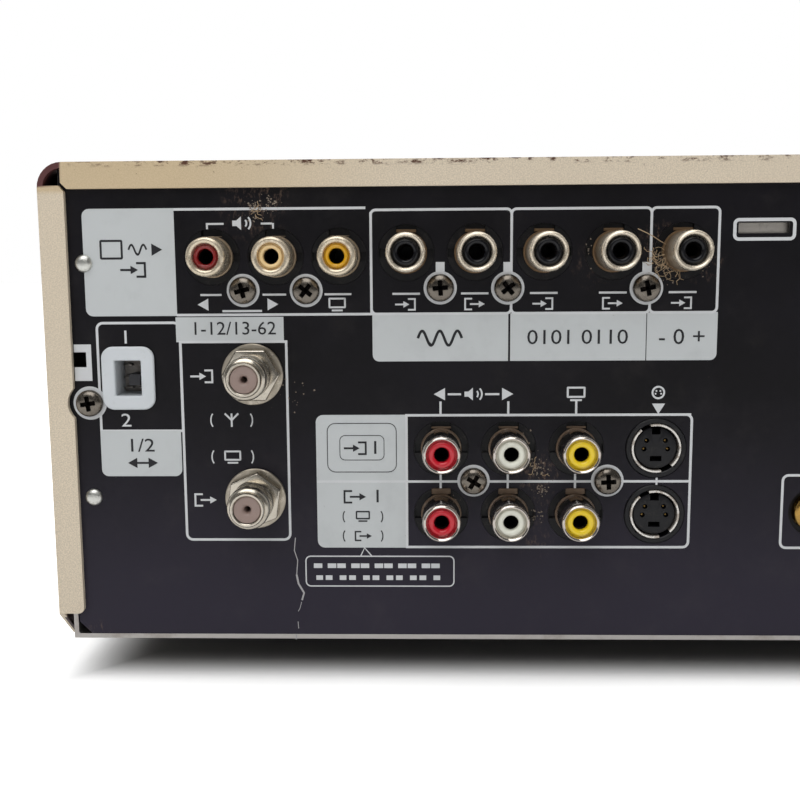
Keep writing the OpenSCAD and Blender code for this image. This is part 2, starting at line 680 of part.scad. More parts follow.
// The rim lies on the panel, the neck passes through it and the switch itself sits behind it.
module channel_switch_body() color("#d5d9dc") at_rear(sw_uv[0], sw_uv[1]) difference() {
    union() {
        plate_y(round_rect(sw_size[0], sw_size[1], 2.6), 0, 0.9);
        window(sw_neck, -panel_t, 0.1);
        window([sw_neck[0] + 0.8, sw_size[1]], -panel_t - sw_depth, -panel_t);
    }
    window(sw_window, -sw_well, 2);
}
module channel_switch_knob() color("#3a3a40") at_rear(sw_uv[0], sw_uv[1])
    translate([-0.8, 0, -sw_knob_drop]) window(sw_knob, gap - sw_well, gap - sw_well + 5);

// Tin can with a row of shallow slots on its top, from u[0] to u[1] and from v[0] to v[1]
module tuner_can(u, v) translate([x_out - u[1], y_in - tuner_depth, z_pan + v[0]]) difference() {
    cube([u[1] - u[0], tuner_depth, v[1] - v[0]]);
    for (i = [0:3]) translate([4 + 6 * i, 5, v[1] - v[0] - 0.6]) cube([2, tuner_depth - 10, 1]);
}
module tuner_module() color("#a9adb0") {
    tuner_can(tuner_u, [board_top - z_pan, tuner_top]);
    tuner_can(dish_can_u, dish_can_v);
}

// ---- Boards ----

// Upright board that carries the socket housings, stepped round the tuner's can
module jack_board() color("#8a6a3c") translate([x_out, 0, z_pan]) mirror([1, 0, 0]) {
    near_u = tuner_u[1] + 2;
    upper_u = blocks[1][2] + 2;
    lower_u = blocks[3][2] + 2;
    foot_v = board_top - z_pan;
    step_v = blocks[2][3] + 1.3;
    plate_y([[28, tuner_top + 2], [near_u, tuner_top + 2], [near_u, foot_v], [lower_u, foot_v],
        [lower_u, step_v], [upper_u, step_v], [upper_u, upper_v[1] + 1], [28, upper_v[1] + 1]],
        jack_board_y, jack_board_y + board_t);
}

// Round can capacitor
module can_cap(x, y, z, r, h) translate([x, y, z]) {
    cylinder(r = r, h = h - 0.6);
    cylinder(r = r - 0.8, h = h);
}

module main_board() color("#3f5f36") {
    x0 = main_x[0];
    y0 = main_y[0];
    y_end = jack_board_y - 3;
    difference() {
        block([x0, y0, board_z], [main_x[1], main_y[1], board_top]);
        for (p = main_holes) translate([p[0], p[1], 0]) rod_z(board_hole_r, board_z - 1, board_top + 1);
    }
    for (i = [0:5]) translate([x0 + 20 + 34 * i, y0 + 14, board_top]) cube([20, 12, 3.2]);
    for (i = [0:6]) can_cap(x0 + 24 + 26 * i, y_end - 9, board_top, 4 + (i % 2), 12 + 3 * (i % 3));
    block([x0 + 8, y_end - 22, board_top], [x0 + 11, y_end - 2, board_top + 30]);
}

module power_board() color("#7c6a3a") {
    x0 = power_x[0];
    y0 = power_y[0];
    core = [46, 38, 40];
    difference() {
        block([x0, y0, board_z], [power_x[1], power_y[1], board_top]);
        for (p = power_holes) translate([p[0], p[1], 0]) rod_z(board_hole_r, board_z - 1, board_top + 1);
    }
    // transformer: an iron core with its coil showing before and behind it
    translate([x0 + 16, y0 + 66, board_top]) {
        cube(core);
        translate([4, -6, 5]) cube([core[0] - 8, core[1] + 12, core[2] - 10]);
    }
    // heat sink: five fins on a plate
    for (i = [0:4]) translate([x0 + 14 + 11 * i, y0 + 18, board_top]) cube([2, 26, 34]);
    translate([x0 + 14, y0 + 29, board_top]) cube([46, 3, 30]);
    for (i = [0:2]) can_cap(x0 + 70, y0 + 20 + 20 * i, board_top, 7, 28);
}

module display_board() color("#4c5a2e") {
    y1 = front_board_y + board_t;
    side = wall_in - 6;
    open_x = rail_x + rail_t + 3;
    wing_z = z_top - 8;
    mid_z = slot_z0 - 4;
    // the board, cut down in the middle to let the cassette pass
    difference() {
        plate_y([[-side, z_pan + 4], [side, z_pan + 4], [side, wing_z], [open_x, wing_z], [open_x, mid_z],
            [-open_x, mid_z], [-open_x, wing_z], [-side, wing_z]], front_board_y, y1);
        translate([jog_xz[0], 0, jog_xz[1]]) rod_y(shaft_r + fit, front_board_y - 1, y1 + 1);
    }
    // display tube
    translate([window_xz[0], 0, window_xz[1]])
        window([window_w - 16, window_h - 2.8], y_face + encoder_in, front_board_y);
    for (k = keys) translate([k[1], 0, k[2]]) window([6, 6], front_board_y - key_switch_h, front_board_y);
    // encoder under the jog dial and the shuttle ring
    translate([jog_xz[0], 0, jog_xz[1]]) difference() {
        rod_y(encoder_r, y_face + encoder_in, front_board_y);
        rod_y(shaft_r + fit, y_face + encoder_in - 1, front_board_y + 1);
    }
    translate([out_sw_x, recess_y + recess_t, front_row_z]) difference() {
        window([16, 8], 0, front_board_y - recess_y - recess_t);
        window([out_sw_slot, 3], -1, out_sw_well);
    }
}

// ---- Front ----

module front_bezel() color("#b8b2a0") difference() {
    h = z_top - z_low;
    slot_deep = [y_face - 1, y_back + 1];
    union() {
        translate([0, 0, z_low + h / 2]) difference() {
            plate_y(round_rect(body_w, h, cover_r), y_face, y_back);
            plate_y(round_rect(body_w - 2 * bezel_t, h - 2 * bezel_t, cover_r - 2),
                y_face + bezel_t, y_back + 1);
        }
        // recess behind the front door
        block([door_x0 - recess_t, y_face + 1, door_z0 - recess_t],
            [door_x1 + recess_t, recess_y + recess_t, door_z0 + door_h + recess_t]);
        // lugs for the flap's pins, with the door's lugs inside the recess walls
        both_sides()
            block([slot_half, lug_y[0], flap_axis_z - 3], [slot_half + lug, lug_y[1], flap_axis_z + 3]);
        for (x = [door_x0 - lug, door_x1])
            block([x, lug_y[0], door_z0 - recess_t], [x + lug, lug_y[1], door_z0 + 6]);
        // lugs of the channel rocker
        for (z = [-1, 1]) translate([rocker_x, rocker_axis_y, front_row_z + z * (rocker_size[1] / 2 + 2.4)])
            cube([8, 5, 3], center = true);
    }
    // ways of the cassette and of the front door, with the holes of their leaves' pins
    block([-slot_half, slot_deep[0], slot_z0], [slot_half, slot_deep[1], slot_z0 + slot_h]);
    block([door_x0, slot_deep[0], door_z0], [door_x1, recess_y, door_z0 + door_h]);
    both_sides() translate([0, leaf_y, flap_axis_z])
        rod_x(leaf_pin_r + fit, slot_half - 1, slot_half + leaf_pin_len + gap);
    for (x = [door_x0 - leaf_pin_len - gap, door_x1 - 1]) translate([0, leaf_y, door_axis_z])
        rod_x(leaf_pin_r + fit, x, x + leaf_pin_len + gap + 1);
    // rebate of the display window, with a lower opening behind it
    translate([window_xz[0], 0, window_xz[1]]) {
        window([window_w + 0.2, window_h + 0.2], slot_deep[0], y_face + window_t);
        window([window_w - 4, window_h - 2], y_face, y_back);
    }
    for (k = keys) translate([k[1], 0, k[2]])
        window([k[3] + 2 * gap, k[4] + 2 * gap], slot_deep[0], y_face + bezel_t + 1);
    translate([jog_xz[0], 0, jog_xz[1]]) rod_y(shuttle_r + gap, y_face - 1, y_back);
    for (x = front_rca_x) at_front(x, front_row_z) {
        rod_y(rca_flange_r + 0.6, -recess_t - 1, 1);
        translate([-tab_w / 2 - 0.25, -recess_t - 1, 0]) cube([tab_w + 0.5, recess_t + 2, rca_panel_r]);
    }
    at_front(front_sv_x, front_row_z) rod_y(sv_body_r + 0.1, -recess_t - 1, 1);
    translate([rocker_x, 0, front_row_z]) {
        window(rocker_size + [2, 2 * gap], recess_y - 1, recess_y + recess_t + 4);
        translate([0, rocker_axis_y, 0])
            rod_z(leaf_pin_r + fit, -rocker_size[1] / 2 - 2.4, rocker_size[1] / 2 + 2.4);
    }
    translate([out_sw_x, 0, front_row_z])
        window([out_sw_slot, out_sw_knob_h + 2 * gap], recess_y - 1, recess_y + recess_t + 0.1);
}

module display_window() color("#1b1716", 0.8) translate([window_xz[0], 0, window_xz[1]])
    window([window_w, window_h], y_face + 0.1, y_face + window_t);

// Leaf that turns on two pins: a plate from its rounded edge at axis_z to far_z
module leaf(x0, x1, axis_z, far_z) {
    translate([0, leaf_y, axis_z]) {
        rod_x(leaf_r, x0, x1);
        rod_x(leaf_pin_r, x0 - leaf_pin_len, x1 + leaf_pin_len);
    }
    block([x0, y_face, min(axis_z, far_z)], [x1, y_face + bezel_t, max(axis_z, far_z)]);
}
module cassette_flap() color("#9c9788")
    leaf(-slot_half + gap, slot_half - gap, flap_axis_z, slot_z0 + gap);
module front_door() color("#a8a292")
    leaf(door_x0 + gap, door_x1 - gap, door_axis_z, door_z0 + door_h - gap);

module jog_dial() color("#3c3c40") translate([jog_xz[0], 0, jog_xz[1]]) {
    top_y = y_face - jog_out;
    edge = 1.2;
    difference() {
        turned_y([[0, y_face + 3], [jog_r, y_face + 3], [jog_r, top_y + edge], [jog_r - edge, top_y],
            [0, top_y]]);
        // finger dimple
        translate([jog_r * 0.55, 0, 0]) rod_y(4.2, top_y - 1, top_y + 1);
    }
    rod_y(shaft_r, y_face + 2, front_board_y + board_t + 1);
}

// Ring round the jog dial, on a web that turns about the encoder
module shuttle_ring() color("#5a5a5e") translate([jog_xz[0], 0, jog_xz[1]]) {
    web_y = y_face + encoder_in + 0.6;
    in_r = jog_r + 0.8;
    bore_r = encoder_r + fit;
    top_y = y_face - shuttle_out;
    turned_y([[in_r, web_y], [bore_r, web_y], [bore_r, web_y + 2], [shuttle_r, web_y + 2],
        [shuttle_r, top_y + 1], [shuttle_r - 1, top_y], [in_r + 0.8, top_y], [in_r, top_y + 1]]);
}

module key(name) {
    k = [for (e = keys) if (e[0] == name) e][0];
    translate([k[1], 0, k[2]]) {
        window([k[3], k[4]], y_face - key_out, y_face + key_depth);
        rod_y(pin_r, y_face + key_depth - 1, front_board_y - key_switch_h - key_travel - gap);
    }
}
module power_button() color("#8f8a7c") key("power_button");
module eject_button() color("#8f8a7c") key("eject_button");
module rewind_button() color("#8f8a7c") key("rewind_button");
module play_button() color("#8f8a7c") key("play_button");
module forward_button() color("#8f8a7c") key("forward_button");
module stop_button() color("#8f8a7c") key("stop_button");
module pause_button() color("#8f8a7c") key("pause_button");
module record_button() color("#8f8a7c") key("record_button");

module channel_rocker() color("#77736a") translate([rocker_x, rocker_axis_y, front_row_z]) {
    pin_end = rocker_size[1] / 2 + 2.2;
    window(rocker_size, -6, -1.5);
    window([6, rocker_size[1]], -2, 1.5);
    rod_z(leaf_pin_r, -pin_end, pin_end);
}

module output_switch_knob() color("#2a2a2c")
    translate([out_sw_x - out_sw_travel / 2, recess_y + recess_t, front_row_z]) {
        window([3, out_sw_knob_h], -recess_t - 2.5, 0);
        window([3, 3 - 2 * gap], -1, out_sw_well - gap);
    }

// ---- Tape deck ----

function sled_end(s) = [s * sled_x[1], sled_y0 + sled_travel];
// Way of a loading sled's pin through the deck
module sled_slot(s, r) {
    a = [s * sled_x[0], sled_y0];
    b = sled_end(s);
    turn = atan2(b[1] - a[1], b[0] - a[0]);
    for (p = [a, b]) translate([p[0], p[1], deck_z - 1]) cylinder(r = r, h = deck_t + 2);
    translate([a[0], a[1], deck_z - 1]) rotate([0, 0, turn]) translate([0, -r, 0])
        cube([norm(b - a), 2 * r, deck_t + 2]);
}

module deck_plate() color("#aeb2b4") {
    difference() {
        union() {
            block([-deck_x, deck_y0, deck_z], [deck_x, deck_y1, deck_top]);
            translate(concat(cap_xy, 0)) rod_z(6, fly_z + fly_h + gap, deck_z + 0.1);
        }
        for (s = [-1, 1]) sled_slot(s, pin_r + 0.08);
        translate(concat(cap_xy, 0)) rod_z(pin_r + fit, fly_z, deck_top + 1);
        for (s = [-1, 1]) translate([s * reel_x - 14, deck_y0 + 30, deck_z - 1]) cube([28, 34, deck_t + 2]);
    }
    // studs for the reels, the idler, the arms and the cam
    for (p = [[-reel_x, reel_y, 13], [reel_x, reel_y, 13], [0, reel_y - idler_len, 4.4],
        concat(tension_piv, 4.4), concat(pinch_piv, 5.5)])
        translate([p[0], p[1], 0]) rod_z(pin_r, deck_top - 0.1, deck_top + p[2]);
    translate(concat(cam_xy, 0)) rod_z(shaft_r, deck_top - 0.1, deck_top + cam_lift + cam_h + 0.5);
}

// The drum stands tilted on the deck, turning about its own shaft.
module drum_frame() translate([0, drum_y, deck_top + drum_lift]) rotate([drum_tilt, 0, 0]) children();

module drum_base() color("#b7babc") {
    translate([0, drum_y, 0]) rod_z(20, deck_top, deck_top + drum_lift + 4);
    drum_frame() {
        turned([[0, 0], [drum_r - 1, 0], [drum_r, 1], [drum_r, drum_base_h], [0, drum_base_h]]);
        rod_z(shaft_r, 1, drum_base_h + drum_top_h + 2);
    }
}
module drum_upper() color("#ced1d3") drum_frame() {
    z0 = drum_base_h + gap;
    z1 = z0 + drum_top_h;
    rim = [10, drum_r - 8];
    difference() {
        turned([[shaft_r + fit, z0], [drum_r, z0], [drum_r, z1 - 1.5], [drum_r - 1.5, z1], [rim[1], z1],
            [rim[1], z1 - 4], [rim[0], z1 - 4], [rim[0], z1], [shaft_r + fit, z1]]);
        // windows of the two video heads and six lightening holes
        for (a = [0, 180]) rotate([0, 0, a]) translate([drum_r - 3, -2, z0 - 1]) cube([4, 4, 3]);
        for (a = [0:60:300]) rotate([0, 0, a]) translate([drum_r - 14, 0, 0]) rod_z(3, z0 + 2, z1);
    }
}

module capstan() color("#c8ccce") translate(concat(cap_xy, 0)) {
    rod_z(pin_r, fly_z + 1, cap_top);
    difference() {
        rod_z(fly_r, fly_z, fly_z + fly_h);
        for (a = [0:45:315]) rotate([0, 0, a]) translate([fly_r - 8, 0, 0])
            rod_z(2.5, fly_z - 1, fly_z + fly_h + 1);
    }
}

// Flat lever from the origin along +X with a bored boss at the origin
module lever(len, w, t, boss_r, boss_h, bore_r) difference() {
    union() {
        rod_z(boss_r, 0, boss_h);
        block([0, -w / 2, 0], [len, w / 2, t]);
        translate([len, 0, 0]) rod_z(w / 2, 0, t);
    }
    rod_z(bore_r, -1, boss_h + 1);
}

module on_pinch_pivot() translate([pinch_piv[0], pinch_piv[1], arm_z]) rotate([0, 0, pinch_dir]) children();

module pinch_arm() color("#9a9ea0") on_pinch_pivot() {
    lever(pinch_len, 6, 2.5, 5, 4.5, pin_r + fit);
    translate([pinch_len, 0, 0]) rod_z(axle_r, 1, 20);
}
module pinch_roller() color("#2a2624") on_pinch_pivot() {
    bore_r = axle_r + fit;
    hub_r = pinch_r - 2.5;
    translate([pinch_len, 0, 0]) turned([[bore_r, 3], [hub_r, 3], [hub_r, 4.5], [pinch_r, 4.5], [pinch_r, 17],
        [hub_r, 17], [hub_r, 18.5], [bore_r, 18.5]]);
}

// Reel table: a toothed rim, a step and a splined spindle over a stud
module reel() difference() {
    union() {
        linear_extrude(height = 3.2) polygon(gear_outline(reel_r, 60, 1.2));
        rod_z(11, 0, 5);
        turned([[0, 0], [7.5, 0], [7.5, 14], [5.5, 16.7], [0, 16.7]]);
        for (a = [0, 120, 240]) rotate([0, 0, a]) translate([6, -0.9, 5]) cube([3.4, 1.8, 8]);
    }
    rod_z(pin_r + fit, -1, 13.2);
}
module supply_reel() color("#e4e2da") translate([-reel_x, reel_y, reel_z]) reel();
module takeup_reel() color("#e4e2da") translate([reel_x, reel_y, reel_z]) reel();

module idler_arm() color("#8f9496") translate([0, reel_y - idler_len, deck_top + 0.4]) rotate([0, 0, 90]) {
    lever(idler_len, 8, 1, 4.5, 3.6, pin_r + fit);
    translate([idler_len, 0, 0]) rod_z(axle_r, 0.5, 4.6);
}
module idler_gear() color("#d8d2c0") translate([0, reel_y, deck_top + 0.4 + 1 + gap]) difference() {
    linear_extrude(height = 3) polygon(gear_outline(idler_r, 27, 1.2));
    rod_z(axle_r + fit, -1, 4);
}

// Loading sled: a block on the deck with a pin through its slot, a guide roller and a slanted post
module sled(s) translate([s * sled_x[0], sled_y0, 0]) {
    z0 = deck_top + 0.4;
    z1 = z0 + sled_size[2];
    rim_r = 3.4;
    guide_r = 2.6;
    block([-sled_size[0] / 2, -sled_size[1] / 2, z0], [sled_size[0] / 2, sled_size[1] / 2, z1]);
    rod_z(pin_r, deck_z - 2, z0 + 1);
    rod_z(rim_r, deck_z - 2, deck_z - 0.6);
    rod_z(1.2, z0 + 1, pole_top);
    turned([[0, z1], [rim_r, z1], [rim_r, z1 + 2], [guide_r, z1 + 2.6], [guide_r, pole_top - 4.6],
        [rim_r, pole_top - 4], [rim_r, pole_top - 2], [0, pole_top - 2]]);
    translate([s * 2.5, -4.5, z1 - 1]) rotate([0, s * 6, 0]) cylinder(r = 1.1, h = 16);
}
module supply_sled() color("#c9b26a") sled(-1);
module takeup_sled() color("#c9b26a") sled(1);

module tension_arm() color("#a2a6a8")
    translate([tension_piv[0], tension_piv[1], arm_z]) rotate([0, 0, tension_dir]) {
        lever(tension_len, 5, 2, 4.5, 3.6, pin_r + fit);
        translate([tension_len, 0, 0]) rod_z(axle_r, 1, 20);
    }

// Sound head beside the capstan and full-width erase head on the other side of the drum
module tape_heads() color("#83878b")
    for (h = [[57, drum_y - 20, 7, 9, 24], [-60, drum_y - 28, 7, 8, 22]]) translate([h[0], h[1], deck_top]) {
        block([-5, -6, 0], [5, 6, 3]);
        block([-h[2] / 2, -h[3] / 2, 3], [h[2] / 2, h[3] / 2, h[4]]);
    }

module loading_motor() color("#7b7f84") translate([0, worm_y, 0]) {
    difference() {
        union() {
            translate([0, 0, worm_z]) rod_x(motor_r, motor_x[0], motor_x[1]);
            block([motor_x[0] + 3, -7, deck_top], [motor_x[1] - 3, 7, worm_z - 5]);
            // foot plate with the worm's far bearing
            block([worm_foot_x[0], -4.5, deck_top], [motor_x[1] - 3, 4.5, deck_top + 1.5]);
            block([worm_foot_x[0], -4.5, deck_top], [worm_foot_x[1], 4.5, worm_z + 4]);
        }
        translate([0, 0, worm_z]) rod_x(axle_r + fit, worm_foot_x[0] - 1, motor_shaft_x + gap);
    }
}
module loading_worm() color("#ddd9cc") translate([0, worm_y, worm_z]) {
    rod_x(axle_r, worm_foot_x[0] + 0.5, motor_shaft_x);
    rod_x(worm_r, cam_xy[0] - 8, cam_xy[0] + 9);
}
module cam_gear() color("#ded8c6") translate([cam_xy[0], cam_xy[1], deck_top]) {
    top = cam_lift + cam_h;
    difference() {
        union() {
            translate([0, 0, cam_lift]) linear_extrude(height = cam_h)
                polygon(gear_outline(cam_r, cam_teeth, 1.6));
            rod_z(8, 0.5, cam_lift + 0.5);
        }
        rod_z(shaft_r + fit, -1, top + 1);
        for (a = [0:90:270]) rotate([0, 0, a]) translate([12.5, 0, 0]) rod_z(3, cam_lift - 1, top + 1);
    }
}

module carriage_brackets() color("#b4b8ba") {
    y0 = slide_y0 - 6;
    y1 = rail_pin_y[1] + hold_in + 8;
    low_y = slide_y0 + slide_len / 2;
    cut_x = [rail_x - 1, rail_x + rail_t + 1];
    slot_r = pin_r + 0.08;
    both_sides() difference() {
        union() {
            block([rail_x, y0, deck_top], [rail_x + rail_t, y1, slide_bar_z + 4.5]);
            block([rail_x, y0, deck_top], [rail_x + 12, y1, deck_top + rail_t]);
        }
        // guide slots of the slider's pins, with a lightening window between them
        translate([0, 0, rail_pin_z[0]])
            slot_x(slot_r, rail_pin_y[0], rail_pin_y[1] + hold_in, cut_x[0], cut_x[1]);
        translate([0, 0, rail_pin_z[1]]) slot_x(slot_r, low_y, low_y + hold_in, cut_x[0], cut_x[1]);
        block([cut_x[0], y0 + 24, rail_pin_z[1] + 9], [cut_x[1], y1 - 24, rail_pin_z[0] - 9]);
    }
    // cross bar over the carriage
    block([-rail_x - rail_t, y1 - 24, slide_bar_z + 3.3], [rail_x + rail_t, y1 - 8, slide_bar_z + 4.5]);
}

// Two cheeks joined by a bar, which run in the brackets and let the holder down in their upright slots
module carriage_slider() color("#9ba0a3") {
    y1 = slide_y0 + slide_len;
    slot_r = pin_r + 0.08;
    cut_x = [slide_x - 1, slide_x + hold_t + 1];
    both_sides() {
        difference() {
            block([slide_x, slide_y0, slide_low], [slide_x + hold_t, y1, slide_bar_z + hold_t]);
            for (y = hold_pin_y) translate([0, y, 0]) {
                for (z = [hold_pin_z - hold_drop, hold_pin_z]) translate([0, 0, z])
                    rod_x(slot_r, cut_x[0], cut_x[1]);
                block([cut_x[0], -slot_r, hold_pin_z - hold_drop], [cut_x[1], slot_r, hold_pin_z]);
            }
        }
        for (p = [[rail_pin_y[0], rail_pin_z[0]], [rail_pin_y[1], rail_pin_z[0]],
            [slide_y0 + slide_len / 2, rail_pin_z[1]]])
            translate([0, p[0], p[1]]) rod_x(pin_r, slide_x + 0.5, rail_x + rail_t + 0.7);
    }
    block([-slide_x - hold_t, slide_y0, slide_bar_z],
        [slide_x + hold_t, slide_y0 + 26, slide_bar_z + hold_t]);
}

// Sheet basket that the cassette slides into, open below between two lips
module cassette_holder() color("#8b8f93") {
    top = hold_z + hold_h;
    lip_x = hold_in_w - hold_lip;
    difference() {
        block([-hold_w, hold_y0, hold_z], [hold_w, hold_y1, top]);
        block([-hold_in_w, hold_y0 - 1, hold_z + hold_t], [hold_in_w, hold_y1 + 1, top - hold_t]);
        block([-lip_x, hold_y0 - 1, hold_z - 1], [lip_x, hold_y1 + 1, hold_z + hold_t + 1]);
        both_sides() block([24, hold_y0 + 34, top - hold_t - 1], [76, hold_y1 - 18, top + 1]);
    }
    both_sides() for (y = hold_pin_y) translate([0, y, hold_pin_z])
        rod_x(pin_r, hold_w - 0.5, slide_x + hold_t + 0.9);
}

top_cover();
base_pan();
rear_panel();
front_bezel();
display_window();
feet();
case_screws();
panel_screws();
panel_rivets();
jack_blocks();
jack_shells();
jack_inserts_black();
jack_inserts_red();
jack_inserts_white();
jack_inserts_yellow();
svideo_shields();
f_connectors();
ac_inlet();
channel_switch_body();
channel_switch_knob();
control_jack();
tuner_module();
jack_board();
main_board();
power_board();
display_board();
deck_plate();
drum_base();
drum_upper();
capstan();
pinch_arm();
pinch_roller();
supply_reel();
takeup_reel();
idler_arm();
idler_gear();
supply_sled();
takeup_sled();
tension_arm();
tape_heads();
loading_motor();
loading_worm();
cam_gear();
carriage_brackets();
carriage_slider();
cassette_holder();
cassette_flap();
front_door();
jog_dial();
shuttle_ring();
power_button();
eject_button();
rewind_button();
play_button();
forward_button();
stop_button();
pause_button();
record_button();
channel_rocker();
output_switch_knob();
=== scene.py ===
"""Looks of a video cassette recorder: casing, printed rear panel, sockets, front and tape deck.

Fields named in millimetres become metres when a mesh is made. The rear panel is drawn as it is
seen from behind: places on it are millimetres right of and above the point straight in front of
the lens.
"""

from __future__ import annotations

import json
import logging
import random
from dataclasses import dataclass, field
from enum import Enum
from functools import partial, reduce
from math import cos, pi, radians, sin
from typing import Callable, Iterable, Sequence

import bmesh
import bpy
from mathutils import Matrix, Vector

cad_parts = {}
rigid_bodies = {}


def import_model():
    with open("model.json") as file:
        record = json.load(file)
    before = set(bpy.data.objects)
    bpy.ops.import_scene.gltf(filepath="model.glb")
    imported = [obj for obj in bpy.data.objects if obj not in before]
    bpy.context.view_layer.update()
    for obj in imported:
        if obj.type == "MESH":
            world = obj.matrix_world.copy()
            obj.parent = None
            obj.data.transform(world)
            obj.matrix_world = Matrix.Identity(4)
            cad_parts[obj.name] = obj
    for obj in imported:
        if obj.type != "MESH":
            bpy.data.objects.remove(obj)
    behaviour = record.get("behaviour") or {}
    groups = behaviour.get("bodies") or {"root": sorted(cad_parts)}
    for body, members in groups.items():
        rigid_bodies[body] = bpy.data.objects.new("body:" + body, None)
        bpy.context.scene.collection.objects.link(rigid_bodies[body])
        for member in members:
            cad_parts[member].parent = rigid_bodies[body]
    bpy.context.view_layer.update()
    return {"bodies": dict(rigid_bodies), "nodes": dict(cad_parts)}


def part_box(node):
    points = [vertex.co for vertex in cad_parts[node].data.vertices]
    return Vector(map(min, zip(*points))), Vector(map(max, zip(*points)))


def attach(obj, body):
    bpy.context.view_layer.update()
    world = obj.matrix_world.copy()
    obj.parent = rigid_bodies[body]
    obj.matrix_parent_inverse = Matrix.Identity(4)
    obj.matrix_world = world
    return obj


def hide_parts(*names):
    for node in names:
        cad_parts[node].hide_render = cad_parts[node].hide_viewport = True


LOG = logging.getLogger("recorder")
MM = 0.001
LENS_U, LENS_V = 83.15, 83.0  # place on the rear panel straight in front of the lens, in mm
Colour = tuple[float, float, float]
Point = tuple[float, float]
Place = tuple[float, float, float]
Radii = tuple[float, float, float, float]
Piece = bpy.types.Object
Socket = bpy.types.NodeSocket


# ---------------- measures


@dataclass(frozen=True)
class Casing:
    """Outer faces of the casing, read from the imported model, in metres."""

    side_x: float
    rear_y: float
    face_y: float
    floor_z: float
    top_z: float

    @classmethod
    def measured(cls) -> "Casing":
        """Reads the faces from the nodes' boxes.

        Returns:
            The casing's places.
        """
        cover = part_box("top_cover")
        return cls(cover[1][0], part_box("rear_panel")[1][1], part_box("front_bezel")[0][1],
                   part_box("base_pan")[0][2], cover[1][2])

    def rear(self, u: float, v: float, out: float = 0.0) -> Vector:
        """Place on the rear panel: right of its left edge, above the chassis floor and out, in mm."""
        return Vector((self.side_x - u * MM, self.rear_y + out * MM, self.floor_z + v * MM))


class Side(Enum):
    """The two faces that carry print, by the direction that they face."""

    REAR = 1
    FRONT = -1


class Turn(Enum):
    """Axis that an outline is turned round, with the direction that its radius starts in."""

    X = ((1, 0, 0), (0, 1, 0))
    Y = ((0, 1, 0), (1, 0, 0))
    Z = ((0, 0, 1), (1, 0, 0))


# ---------------- modelling


